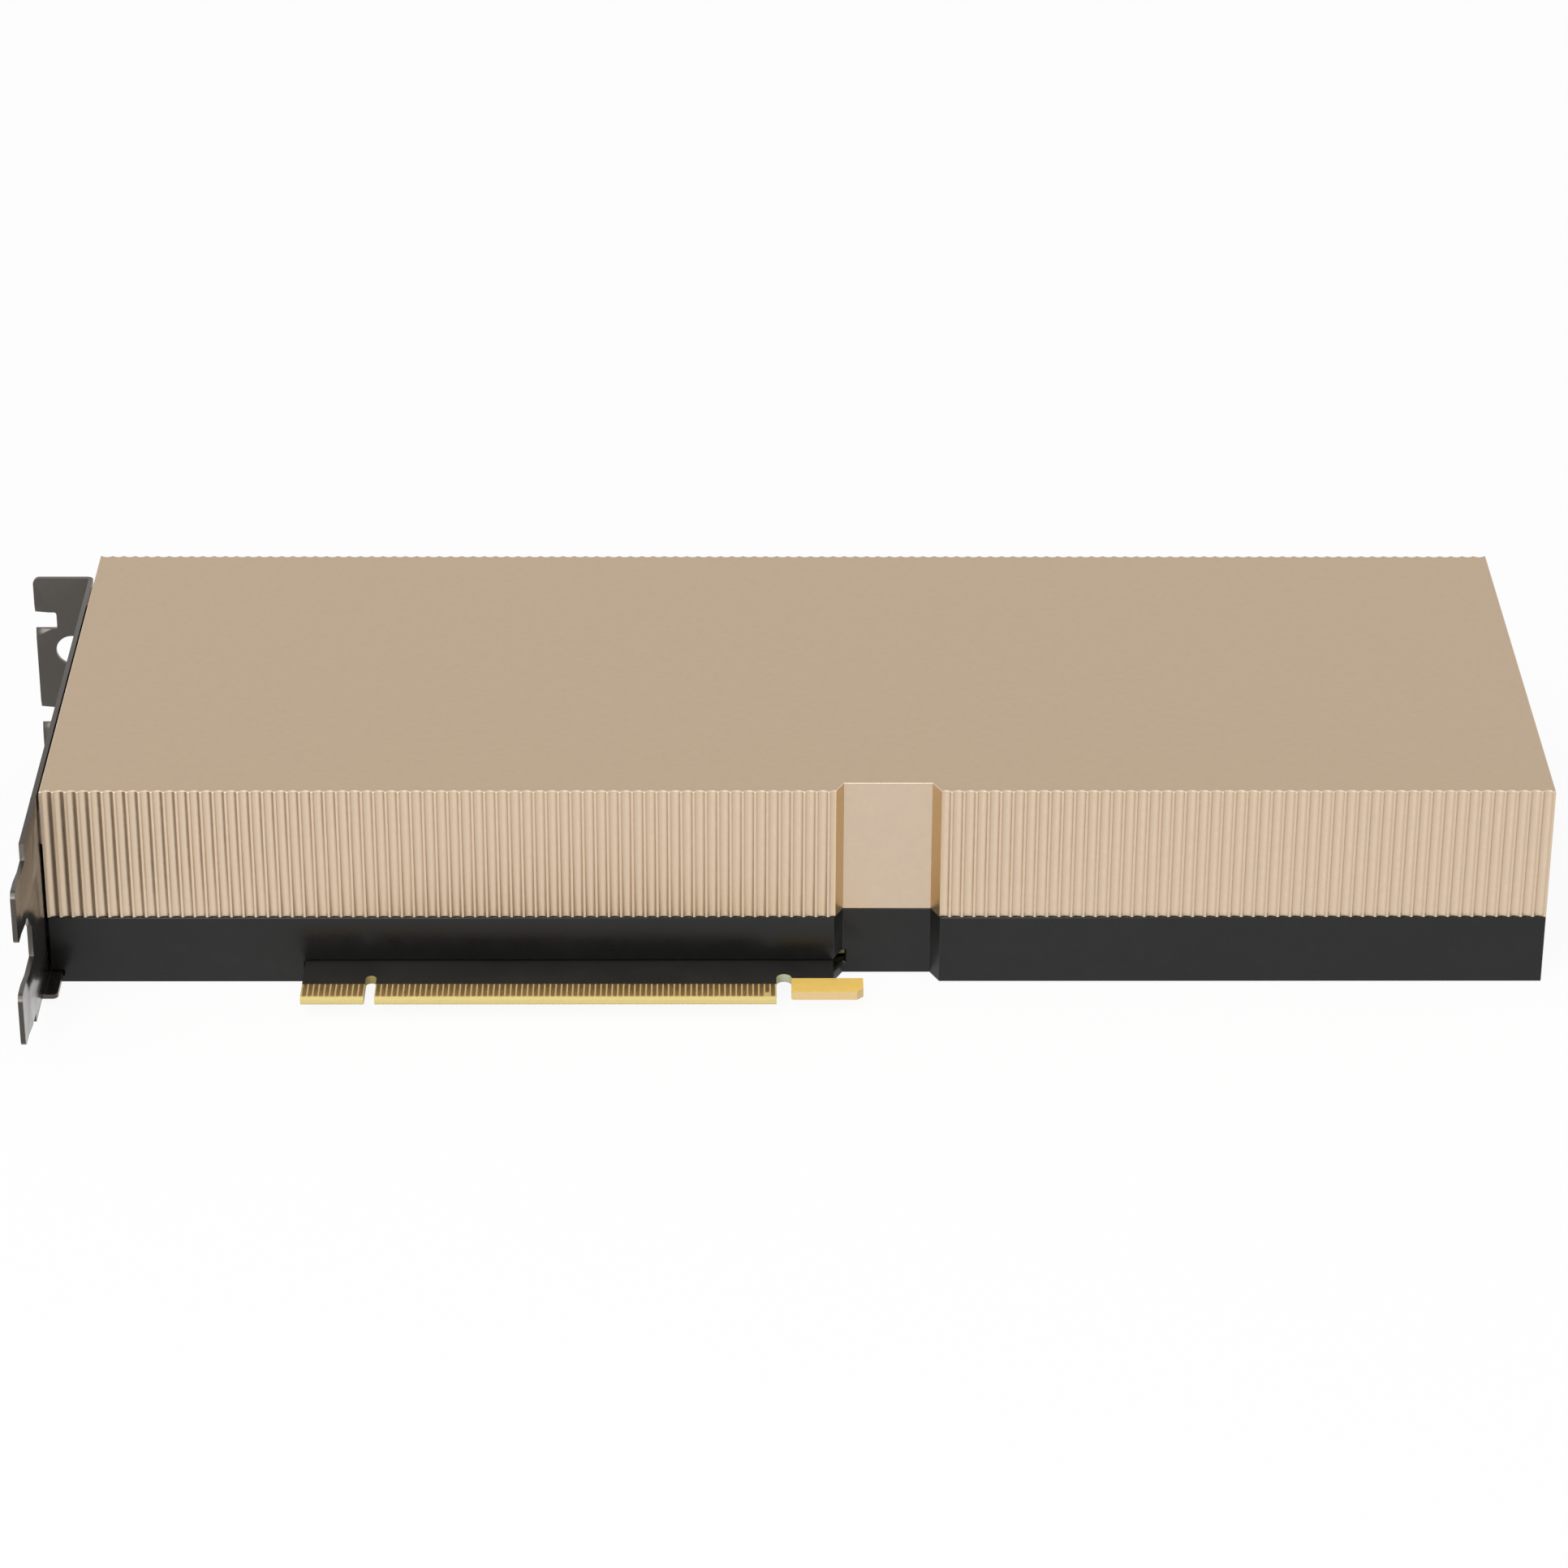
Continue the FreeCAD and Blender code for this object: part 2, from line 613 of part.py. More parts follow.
def make_hook_plating():
    """Gold plating on both faces of the retention hook."""
    body = new_body("hook_plating")
    hook = f"{KEY} + hook_end"
    gap_end = f"{KEY} + tongue_end + gap_width"
    for name, level in (("upper", BOARD_TOP), ("lower", "board_lift - contact_thickness")):
        plan = new_sketch(body, f"{name}_plating_plan", "XY_Plane", level)
        outline(plan, [
            (gap_end, f"-{SIDE} - hook_back"), (gap_end, f"-{SIDE} - hook_front"),
            (f"{hook} - hook_chamfer", f"-{SIDE} - hook_front"),
            (hook, f"-{SIDE} - hook_front + hook_chamfer"), (hook, f"-{SIDE} - hook_back")])
        pad(body, plan, "contact_thickness", f"{name}_plating")


# ---------------------------------------------------------------- slot bracket

def make_bracket():
    """Dual-slot bracket, folded from one sheet: flange, plate with vents, two tongues and a lug."""
    body = new_body("slot_bracket")
    profile = new_sketch(body, "bracket_profile", "XY_Plane", "bracket_low")
    flange_tip = f"{BRACKET_FACE} - flange_reach"
    tab_tip = f"-{SIDE} - tab_reach"
    outline(profile, [
        (flange_tip, FLANGE_TOP), (BRACKET_FACE, FLANGE_TOP),
        (BRACKET_FACE, f"-{SIDE} - tab_bend_start"),
        (f"{BRACKET_FACE} - tab_offset", f"-{SIDE} - tab_bend_end"),
        (f"{BRACKET_FACE} - tab_offset", tab_tip), (f"{BRACKET_OUTSIDE} - tab_offset", tab_tip),
        (f"{BRACKET_OUTSIDE} - tab_offset", f"-{SIDE} - tab_bend_end"),
        (BRACKET_OUTSIDE, f"-{SIDE} - tab_bend_start"),
        (BRACKET_OUTSIDE, f"{FLANGE_TOP} - bracket_thickness"),
        (flange_tip, f"{FLANGE_TOP} - bracket_thickness")])
    sheet_metal = pad(body, profile, "bracket_high - bracket_low", "folded_sheet")

    def inner_bend(middle, along, edge):
        return abs(along.z) > 0.99 and near(middle.x, BRACKET_OUTSIDE) and middle.y > 0

    def outer_bend(middle, along, edge):
        return abs(along.z) > 0.99 and near(middle.x, BRACKET_FACE) and middle.y > 0

    inside = round_edges(body, sheet_metal, inner_bend, "bend_radius", "bend_inside")
    round_edges(body, inside, outer_bend, "bend_radius + bracket_thickness", "bend_outside")

    trim = new_sketch(body, "plate_trim", "YZ_Plane")
    beyond = f"{tab_tip} - {PAST}"
    shoulder = f"-{SIDE} - shoulder_reach"
    valley = f"-{SIDE} - valley_reach"
    lug_front = f"-{SIDE} - lug_reach"
    upper_low = "tab_low + slot_pitch"
    upper_high = f"{upper_low} + tab_width"
    lower_high = "tab_low + tab_width"
    outline(trim, [(beyond, upper_high), (shoulder, upper_high),
                   (shoulder, f"bracket_high + {PAST}"), (beyond, f"bracket_high + {PAST}")])
    outline(trim, [(beyond, lower_high), (valley, lower_high),
                   (valley, f"{upper_low} - (tab_root_reach - valley_reach)"),
                   (f"-{SIDE} - tab_root_reach", upper_low), (beyond, upper_low)])
    below = f"bracket_low - {PAST}"
    outline(trim, [(beyond, below), (beyond, "tab_low"), (shoulder, "tab_low"),
                   (shoulder, "heel_low"), (lug_front, "heel_low"), (lug_front, "frame_floor"),
                   (LUG_BACK, "frame_floor"), (LUG_BACK, below)])
    trimmed = pocket(body, trim, None, "plate_outline")

    def tab_corners(middle, along, edge):
        return abs(along.x) > 0.99 and near(middle.y, tab_tip)

    round_edges(body, trimmed, tab_corners, "tab_corner", "tab_corners")

    lug = new_sketch(body, "lug_plan", "XY_Plane", "frame_floor")
    step = f"-{SIDE} + lug_inner_inset"
    outline(lug, [
        (f"{BRACKET_FACE} - {LAP}", lug_front), (f"{BRACKET_FACE} + lug_width", lug_front),
        (f"{BRACKET_FACE} + lug_width", step), (f"{BRACKET_FACE} + lug_inner_width", step),
        (f"{BRACKET_FACE} + lug_inner_width", LUG_BACK), (f"{BRACKET_FACE} - {LAP}", LUG_BACK)])
    folded = pad(body, lug, "bracket_thickness", "lug")

    def lug_corner(middle, along, edge):
        return (abs(along.z) > 0.99 and near(middle.y, lug_front)
                and near(middle.x, f"{BRACKET_FACE} + lug_width"))

    def lug_inside(middle, along, edge):
        return abs(along.y) > 0.99 and near(middle.x, BRACKET_FACE) and near(middle.z, LUG_TOP)

    cornered = round_edges(body, folded, lug_corner, "lug_corner", "lug_corner")
    round_edges(body, cornered, lug_inside, "bend_radius", "lug_bend")

    flange = new_sketch(body, "flange_cuts", "XZ_Plane", f"-{FLANGE_TOP} + bracket_thickness / 2")
    for row in ("0", "1"):
        middle = f"notch_place + {row} * slot_pitch"
        rectangle(flange, f"{flange_tip} - {PAST}", f"{flange_tip} + notch_depth",
                  f"{middle} - notch_width / 2", f"{middle} + notch_width / 2")
    circle(flange, f"{flange_tip} + lock_hole_inset", "lock_hole_place", "lock_hole")
    opened = body.newObject("PartDesign::Pocket", "notches")
    opened.Profile = flange
    opened.SideType = "Symmetric"
    opened.setExpression("Length", cell("4 * bracket_thickness"))

    def notch_corner(middle, along, edge):
        return (abs(along.y) > 0.99 and near(middle.x, f"{flange_tip} + notch_depth")
                and middle.y > 0 and edge.Curve.TypeId == "Part::GeomLine")

    def flange_corner(middle, along, edge):
        ends = near(middle.z, "bracket_low") or near(middle.z, "bracket_high")
        return abs(along.y) > 0.99 and near(middle.x, flange_tip) and ends

    cornered = round_edges(body, opened, notch_corner, "notch_corner", "notch_corners")
    round_edges(body, cornered, flange_corner, "flange_corner", "flange_corners")

    vents = new_sketch(body, "vent_plan", "YZ_Plane")
    vent = f"(({WINDOW_FRONT} + {WINDOW_BACK}) / 2 - (vent_count - 1) / 2 * vent_pitch)"
    for row in ("0", "1"):
        low = f"vent_low + {row} * vent_rows_pitch"
        rectangle(vents, f"{vent} - vent_width / 2", f"{vent} + vent_width / 2",
                  low, f"{low} + vent_height")
    opening = pocket(body, vents, None, "vent")
    repeat(body, opening, "Y_Axis", "vent_pitch", "vent_count", "vents")

    holes = new_sketch(body, "bracket_hole_plan", "YZ_Plane")
    for side, height in BRACKET_SCREWS:
        circle(holes, side, height, "bracket_screw + 2 * screw_clearance")
    pocket(body, holes, None, "bracket_holes")
    tapped = new_sketch(body, "lug_hole_plan", "XY_Plane", LUG_TOP)
    circle(tapped, *LUG_SCREW, "cover_screw")
    pocket(body, tapped, "bracket_thickness", "lug_hole")


# ---------------------------------------------------------------- fasteners

def make_countersunk(label, places, screw, head, length):
    """Countersunk screws driven up from the underside, heads flush with it."""
    body = new_body(label)
    heads = new_sketch(body, f"{label}_head_plan", "XY_Plane", "screw_clearance / 2")
    for x, y in places:
        circle(heads, x, y, head)
    pad(body, heads, f"({head} - {screw}) / 2", f"{label}_heads", taper=-45.0)
    shanks = new_sketch(body, f"{label}_shank_plan", "XY_Plane", f"({head} - {screw}) / 2")
    for x, y in places:
        circle(shanks, x, y, screw)
    pad(body, shanks, f"{length} - ({head} - {screw}) / 2", f"{label}_shanks")


def make_bracket_screws():
    body = new_body("bracket_screws")
    heads = new_sketch(body, "head_plan", "YZ_Plane", BRACKET_OUTSIDE)
    shanks = new_sketch(body, "shank_plan", "YZ_Plane", BRACKET_OUTSIDE)
    for side, height in BRACKET_SCREWS:
        circle(heads, side, height, "bracket_screw_head")
        circle(shanks, side, height, "bracket_screw")
    capped = pad(body, heads, "bracket_screw_head_height", "heads")
    capped.Reversed = True
    pad(body, shanks, "bracket_screw_length", "shanks")


def make_heatsink_screws():
    """Screws from under the board into the vapour chamber's posts, heads in the gap over the floor."""
    body = new_body("heatsink_screws")
    heads = new_sketch(body, "sink_head_plan", "XY_Plane", "board_lift - sink_screw_head_height")
    shanks = new_sketch(body, "sink_shank_plan", "XY_Plane", "board_lift")
    for x, y in SINK_SCREWS:
        circle(heads, x, y, "sink_screw_head")
        circle(shanks, x, y, "sink_screw")
    pad(body, heads, "sink_screw_head_height", "sink_screw_heads")
    pad(body, shanks, "plate_low - board_lift", "sink_screw_shanks")


# ---------------------------------------------------------------- heatsink

def make_heatsink():
    plate = new_body("vapour_chamber")
    plan = new_sketch(plate, "chamber_plan", "XY_Plane", "plate_low")
    rectangle(plan, SINK_START, SINK_END, f"-{SINK_SIDE}", SINK_SIDE)
    pad(plate, plan, "plate_thickness", "chamber")
    foot = new_sketch(plate, "pedestal_plan", "XY_Plane", PASTE_TOP)
    rectangle(foot, "package_place - pedestal_width / 2", "package_place + pedestal_width / 2",
              "-pedestal_width / 2", "pedestal_width / 2")
    pad(plate, foot, f"plate_low - {PASTE_TOP}", "pedestal")
    posts = new_sketch(plate, "chamber_post_plan", "XY_Plane", BOARD_TOP)
    for x, y in SINK_SCREWS:
        rectangle(posts, f"{x} - sink_screw", f"{x} + sink_screw", f"{y} - sink_screw", f"{y} + sink_screw")
    pad(plate, posts, f"plate_low - {BOARD_TOP}", "chamber_posts")
    threads = new_sketch(plate, "chamber_thread_plan", "XY_Plane", BOARD_TOP)
    for x, y in SINK_SCREWS:
        circle(threads, x, y, "sink_screw")
    bore = pocket(plate, threads, f"plate_low - {BOARD_TOP} + thread_depth", "chamber_threads")
    bore.Reversed = True

    fins = new_body("fin_stack")
    sole = new_sketch(fins, "fin_foot_plan", "XY_Plane", PLATE_TOP)
    rectangle(sole, SINK_START, SINK_END, f"-{SINK_SIDE}", SINK_SIDE)
    pad(fins, sole, "fin_foot", "fin_foot")
    blade = new_sketch(fins, "fin_plan", "XY_Plane", f"{PLATE_TOP} + fin_foot")
    first = f"(-(fin_count - 1) / 2 * {FIN_PITCH})"
    rectangle(blade, SINK_START, SINK_END, f"{first} - fin_thickness / 2", f"{first} + fin_thickness / 2")
    fin = pad(fins, blade, f"{ROOF} - fin_top_gap - {PLATE_TOP} - fin_foot", "fin")
    repeat(fins, fin, "Y_Axis", FIN_PITCH, "fin_count", "fins")


# ---------------------------------------------------------------- parts on the board

def make_block(label, low_z, height, length, width, places):
    """Plain blocks of one height standing on one level, centred on the given places."""
    body = new_body(label)
    plan = new_sketch(body, f"{label}_plan", "XY_Plane", low_z)
    for x, y in places:
        rectangle(plan, f"{x} - {length} / 2", f"{x} + {length} / 2",
                  f"{y} - {width} / 2", f"{y} + {width} / 2")
    pad(body, plan, height, f"{label}_blocks")
    return body


def make_package():
    """Processor package: substrate, stiffener ring, die, memory stacks and thermal paste."""
    centre = ("package_place", "0")
    make_block("package_substrate", BOARD_TOP, "package_thickness", "package_width", "package_width",
               [centre])
    substrate_top = f"({BOARD_TOP} + package_thickness)"
    make_block("processor_die", substrate_top, "die_thickness", "die_length", "die_width", [centre])
    reach = "(die_length / 2 + stack_gap + stack_length / 2)"
    stacks = [(f"package_place {sign} {reach}", f"{row} * (stack_width + stack_gap)")
              for sign in ("-", "+") for row in ("-1", "0", "1")]
    make_block("memory_stacks", substrate_top, "die_thickness", "stack_length", "stack_width", stacks)
    span = f"(2 * {reach} + stack_length)"
    make_block("thermal_paste", DIE_TOP, "paste_thickness", span, "die_width", [centre])

    ring = new_body("package_stiffener")
    plan = new_sketch(ring, "ring_plan", "XY_Plane", substrate_top)
    for half in ("package_width / 2", "(package_width / 2 - stiffener_rim)"):
        rectangle(plan, f"package_place - {half}", f"package_place + {half}", f"-{half}", half)
    pad(ring, plan, "stiffener_thickness", "ring")


def make_columns(label, height, length, width, middles, pitch, count):
    """Like parts on the board in columns along Y, one column for each place along X."""
    body = new_body(label)
    first = f"(-({count} - 1) / 2 * {pitch})"
    for index, middle in enumerate(middles):
        plan = new_sketch(body, f"{label}_plan_{index}", "XY_Plane", BOARD_TOP)
        rectangle(plan, f"{middle} - {length} / 2", f"{middle} + {length} / 2",
                  f"{first} - {width} / 2", f"{first} + {width} / 2")
        one = pad(body, plan, height, f"{label}_first_{index}")
        repeat(body, one, "Y_Axis", pitch, count, f"{label}_column_{index}")


def make_power_parts():
    """Chokes under their thermal pads, with a power stage beside each, and the bulk capacitors."""
    chokes, stages, capacitors = (
        [f"(package_place {sign} ({reach}))" for sign in ("-", "+")]
        for reach in ("choke_reach", "choke_reach + stage_shift", "capacitor_reach"))
    make_columns("chokes", "choke_height", "choke_length", "choke_width",
                 chokes, "choke_pitch", "choke_count")
    make_columns("power_stages", "stage_height", "stage_length", "stage_width",
                 stages, "choke_pitch", "choke_count")
    make_columns("bulk_capacitors", "capacitor_height", "capacitor_length", "capacitor_width",
                 capacitors, "capacitor_pitch", "capacitor_count")
    make_block("thermal_pads", f"{BOARD_TOP} + choke_height", f"plate_low - {BOARD_TOP} - choke_height",
               "choke_length", "(choke_count * choke_pitch)", [(place, "0") for place in chokes])


def make_connector():
    """Eight-way power socket at the tail, with its latch ramp and pins."""
    body = new_body("power_connector")
    plan = new_sketch(body, "socket_plan", "XY_Plane", BOARD_TOP)
    rectangle(plan, f"{PLUG_FACE} - plug_length", PLUG_FACE,
              "plug_place - plug_width / 2", "plug_place + plug_width / 2")
    pad(body, plan, "plug_height", "socket_block")
    latch = new_sketch(body, "latch_plan", "XY_Plane", f"{BOARD_TOP} + plug_height")
    rectangle(latch, f"{PLUG_FACE} - latch_length", PLUG_FACE,
              "plug_place - latch_width / 2", "plug_place + latch_width / 2")
    pad(body, latch, "latch_height", "latch")
    cells = new_sketch(body, "cell_plan", "YZ_Plane", PLUG_FACE)
    for y, z in pin_places():
        rectangle(cells, f"{y} - plug_cell / 2", f"{y} + plug_cell / 2",
                  f"{z} - plug_cell / 2", f"{z} + plug_cell / 2")
    pocket(body, cells, "plug_cell_depth", "cells")

    pins = new_body("power_pins")
    ends = new_sketch(pins, "pin_plan", "YZ_Plane", f"{PLUG_FACE} - plug_cell_depth")
    for y, z in pin_places():
        rectangle(ends, f"{y} - pin_width / 2", f"{y} + pin_width / 2",
                  f"{z} - pin_width / 2", f"{z} + pin_width / 2")
    pad(pins, ends, "plug_cell_depth - pin_recess", "pins")


def pin_places():
    return [(f"(plug_place + {step} * plug_pitch)", f"({BOARD_TOP} + plug_height / 2 {sign} plug_pitch / 2)")
            for step in ("-1.5", "-0.5", "0.5", "1.5") for sign in ("-", "+")]


# ---------------------------------------------------------------- run

make_cover()
make_frame()
make_board()
make_contacts("component_side_contacts", BOARD_TOP, NEXT_TO_LAST_CONTACT)
make_contacts("solder_side_contacts", "board_lift - contact_thickness", FIRST_CONTACT)
make_hook_plating()
make_bracket()
make_bracket_screws()
make_countersunk("cover_screws", COVER_SCREWS, "cover_screw", "cover_screw_head", "cover_screw_length")
make_heatsink_screws()
make_countersunk("lug_screw", [LUG_SCREW], "cover_screw", "cover_screw_head", LUG_TOP)
make_heatsink()
make_package()
make_power_parts()
make_connector()
doc.recompute()

os.makedirs("parts", exist_ok=True)
for item in doc.Objects:
    if "Invalid" in item.State or "Error" in item.State:
        raise RuntimeError(f"{item.Label} failed: {item.State}")
for body in doc.findObjects("PartDesign::Body"):
    if body.Shape.isNull() or not body.Shape.isValid():
        raise RuntimeError(f"{body.Label} has no valid shape")
    body.Shape.exportStep(f"parts/{body.Label}.step")
    print(body.Label, len(body.Shape.Solids), round(body.Shape.Volume, 2))
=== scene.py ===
"""The looks of a passive accelerator card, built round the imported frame. Metres throughout.

The pieces that show are rebuilt with finer forms. The others keep their CAD form and get a finish."""

import json
import math

import bmesh
import bpy
from mathutils import Matrix, Vector


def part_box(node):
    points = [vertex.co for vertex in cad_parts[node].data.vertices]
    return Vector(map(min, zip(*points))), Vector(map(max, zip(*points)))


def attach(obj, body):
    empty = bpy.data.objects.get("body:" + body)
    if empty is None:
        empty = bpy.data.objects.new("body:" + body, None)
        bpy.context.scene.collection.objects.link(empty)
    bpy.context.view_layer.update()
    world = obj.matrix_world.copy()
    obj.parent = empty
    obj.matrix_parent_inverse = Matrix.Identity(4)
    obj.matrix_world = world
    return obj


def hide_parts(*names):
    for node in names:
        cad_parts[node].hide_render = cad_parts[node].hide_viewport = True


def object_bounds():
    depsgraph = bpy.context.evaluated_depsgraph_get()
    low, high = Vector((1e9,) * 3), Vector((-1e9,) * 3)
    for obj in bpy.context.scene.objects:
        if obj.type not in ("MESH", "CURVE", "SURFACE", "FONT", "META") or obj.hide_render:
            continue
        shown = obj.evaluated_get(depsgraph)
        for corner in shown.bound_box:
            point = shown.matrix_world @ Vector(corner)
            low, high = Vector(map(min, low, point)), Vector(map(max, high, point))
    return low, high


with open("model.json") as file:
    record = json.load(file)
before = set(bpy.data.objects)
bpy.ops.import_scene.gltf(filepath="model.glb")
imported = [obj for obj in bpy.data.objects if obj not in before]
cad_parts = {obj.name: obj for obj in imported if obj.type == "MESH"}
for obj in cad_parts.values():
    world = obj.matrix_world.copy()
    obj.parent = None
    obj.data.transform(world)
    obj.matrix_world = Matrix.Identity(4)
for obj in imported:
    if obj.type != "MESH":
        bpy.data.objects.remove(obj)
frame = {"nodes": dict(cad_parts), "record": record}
cad_low, cad_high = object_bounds()

MM = 0.001

# Places from the frame
COVER_LOW, COVER_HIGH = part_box("cover")
BOARD_LOW, BOARD_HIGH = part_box("circuit_board")
PADS_LOW, PADS_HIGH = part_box("component_side_contacts")
HOOK_LOW, HOOK_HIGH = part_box("hook_plating")
BRACKET_LOW, BRACKET_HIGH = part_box("slot_bracket")
END = COVER_HIGH.x
SIDE = COVER_HIGH.y
TOP = COVER_HIGH.z
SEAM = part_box("frame")[1].z

# Flutes of the cover's long walls: arcs in plan, with flat lands between them
FLUTES = 123
LAND = 0.4 * MM
FLUTE_DEPTH = 0.45 * MM
FLUTE_STEPS = 10
PITCH = (2 * END - LAND) / FLUTES
CHORD = PITCH - LAND
FLUTE_RADIUS = (CHORD * CHORD / 4 + FLUTE_DEPTH * FLUTE_DEPTH) / (2 * FLUTE_DEPTH)
FLUTE_SWING = math.asin(CHORD / 2 / FLUTE_RADIUS)

# The cover's walls and roof, and the air window in its end wall
WALL = 2.0 * MM
ROOF = TOP - 1.6 * MM
END_WALL = 1.5 * MM
WINDOW_FRONT = -39.0 * MM
WINDOW_BACK = 30.0 * MM
WINDOW_TOP = ROOF - 2.0 * MM

# The recess: its middle, its depth, half its width at the floor and at the mouth, and a slope's run
RECESS = -END + 149.62 * MM
RECESS_DEPTH = 3.35 * MM
RECESS_FLOOR = 15.65 * MM / 2
RECESS_MOUTH = 18.9 * MM / 2
RECESS_SLOPE = RECESS_MOUTH - RECESS_FLOOR

# How often the search for the recess's edge is halved, and the limit for offsets at sharp corners
HALVINGS = 40
MITRE_LIMIT = 0.3

# Inside the cover: posts for the screws from below, and blocks for the bracket's screws
POST = 5.0 * MM
POST_PLACE = END - 21.65 * MM
POST_OUTER = SIDE - 2.4 * MM
BLOCK = 8.0 * MM
BLOCK_LOW = ROOF - 9.85 * MM

# Edge connector, measured from the key notch
KEY = -END + 57.71 * MM
KEY_REACH = 1.1 * MM
TONGUE_END = KEY + 72.15 * MM
PAD_PITCH = 1.0 * MM
PAD_WIDTH = 0.7 * MM
PAD_SHOULDER = 0.12 * MM
FIRST_PAD = 1.5 * MM
PADS_BEFORE = 11
PADS_AFTER = 71
PAD_BACK = PADS_HIGH.y
PAD_FRONT = PADS_LOW.y
STUB_WIDTH = 0.26 * MM
STUB_END = BOARD_LOW.y + 0.5 * MM
SENSE_SHORT = 1.1 * MM
PLATING = PADS_HIGH.z - BOARD_HIGH.z

# Retention hook: how far the plating stands off the cut edges, its cut corner and its round one
HOOK_SKIN = 0.03 * MM
HOOK_CUT = 1.1 * MM
HOOK_ROUND = 0.5 * MM
HOOK_STEPS = 6

# Slot bracket: its plate's outer face, and the lead-ins pressed into its flange at the notches'
# mouths, which lie further from the flange's ends than the margin
BRACKET_PLATE = -END - 1.28 * MM
LEAD_IN = (2.6 * MM, 0.5 * MM, 1.7 * MM)
FLANGE_MARGIN = 3 * MM

# Screws: their places, and the radii of their heads and shanks
COVER_SCREWS = [(sign_x * POST_PLACE, sign_y * (POST_OUTER - POST / 2))
                for sign_x in (-1, 1) for sign_y in (-1, 1)]
LUG_SCREW = (-END + 4.48 * MM, -SIDE + 7.0 * MM)
BRACKET_SCREWS = [(-SIDE + 6.0 * MM, TOP - 6.45 * MM), (SIDE - 15.0 * MM, TOP - 6.45 * MM)]
ROUND_HEAD = 2.6 * MM
ROUND_SHANK = 1.5 * MM
SUNK_HEAD = 2.3 * MM
SUNK_SHANK = 1.25 * MM
SUNK_RIM = 0.08 * MM
SCREW_SIDES = 36

# How far the sharp edges are broken, and the shortest edges that are broken at all
TOP_BREAK = 0.15 * MM
LOW_BREAK = 0.1 * MM
FRAME_BREAK = 0.13 * MM
FRAME_SHORTEST = 0.45 * MM
SLOT_BEVEL = 0.4 * MM
HOOK_BREAK = 0.1 * MM
BRACKET_BREAK = 0.09 * MM
BRACKET_SHORTEST = 0.12 * MM
SOCKET_BREAK = 0.15 * MM

# Small distances: vertices that are one, places that are the same, sections of the cover that would
# crowd each other, the posts' reach into the roof, and the room when faces are looked for
JOIN = 0.001 * MM
SAME = 0.01 * MM
CROWDING = 0.08 * MM
OVERLAP = 0.1 * MM
ROOM = 0.1 * MM

# Depth of the grain in a surface
GRAIN = 0.03 * MM
FINE_GRAIN = 0.02 * MM

# Camera: focal length and sensor in millimetres, and its turn in degrees from a level view along +Y
LENS = 117.8
SENSOR = 36.0
CAMERA_PLACE = (-0.009049, -0.849077, 0.458207)
CAMERA_PITCH = 27.596
CAMERA_YAW = 0.468
CAMERA_ROLL = -0.207
CLIP_START = 0.01

# Round lamps that point at the card: place, diameter and power in watts
LAMPS = {"key": ((-0.5, -0.9, 1.5), 1.4, 11),
         "fill": ((1.0, -0.4, 1.1), 1.2, 4),
         "front": ((-0.45, -1.3, 0.35), 1.1, 14)}
LAMP_TARGET = Vector((0, 0, 0.02))

# The world's strength as a light on the object, and as the camera sees it
WORLD_LIGHT = 0.55
WORLD_SEEN = 1.0

# Floor: half its width, the gap under the card, its grey, and how much of it shows as plain white
# near the card and far from it
FLOOR_REACH = 6.0
FLOOR_GAP = 0.05 * MM
FLOOR_GREY = 0.82
WHITE_NEAR = 0.92
WHITE_FAR = 1.0
NEAR = 0.5
FAR = 2.5


# ---------------------------------------------------------------- mesh helpers

def add_object(name, bm, materials, sharp=25):
    """Turns a bmesh into a piece of the object, with its materials, on the root body. Faces
    square to an axis lie on flat sides, and are shaded flat."""
    bmesh.ops.recalc_face_normals(bm, faces=bm.faces)
    mesh = bpy.data.meshes.new(name)
    bm.to_mesh(mesh)
    bm.free()
    for material in materials:
        mesh.materials.append(material)
    mesh.polygons.foreach_set("use_smooth", [not is_square(polygon) for polygon in mesh.polygons])
    mesh.set_sharp_from_angle(angle=math.radians(sharp))
    piece = bpy.data.objects.new(name, mesh)
    bpy.context.scene.collection.objects.link(piece)
    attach(piece, "root")
    return piece


def copy_of(node):
    """A CAD node's mesh as a bmesh, with its coincident vertices joined and flat faces whole."""
    source = frame["nodes"][node]
    bm = bmesh.new()
    bm.from_mesh(source.data)
    bm.transform(source.matrix_world)
    bmesh.ops.remove_doubles(bm, verts=bm.verts, dist=JOIN)
    bmesh.ops.dissolve_limit(bm, angle_limit=math.radians(0.5), verts=bm.verts, edges=bm.edges)
    return bm


def add_row(bm, points, heights):
    """A row of vertices over points in plan, each at its own height."""
    return [bm.verts.new((point.x, point.y, height)) for point, height in zip(points, heights)]


def add_box(bm, low, high):
    """A closed box in the bmesh, between two corners."""
    corners = [bm.verts.new((x, y, z)) for x in (low[0], high[0]) for y in (low[1], high[1])
               for z in (low[2], high[2])]
    for quad in ((0, 1, 3, 2), (4, 6, 7, 5), (0, 4, 5, 1), (2, 3, 7, 6), (0, 2, 6, 4), (1, 5, 7, 3)):
        bm.faces.new([corners[number] for number in quad])


def add_prism(bm, points, low, high, wall=0):
    """An upright prism on an outline in plan; wall is the number of its sides' material."""
    lower = [bm.verts.new((x, y, low)) for x, y in points]
    upper = [bm.verts.new((x, y, high)) for x, y in points]
    bm.faces.new(lower[::-1])
    bm.faces.new(upper)
    for index in range(len(points)):
        following = (index + 1) % len(points)
        side = bm.faces.new([lower[index], lower[following], upper[following], upper[index]])
        side.material_index = wall


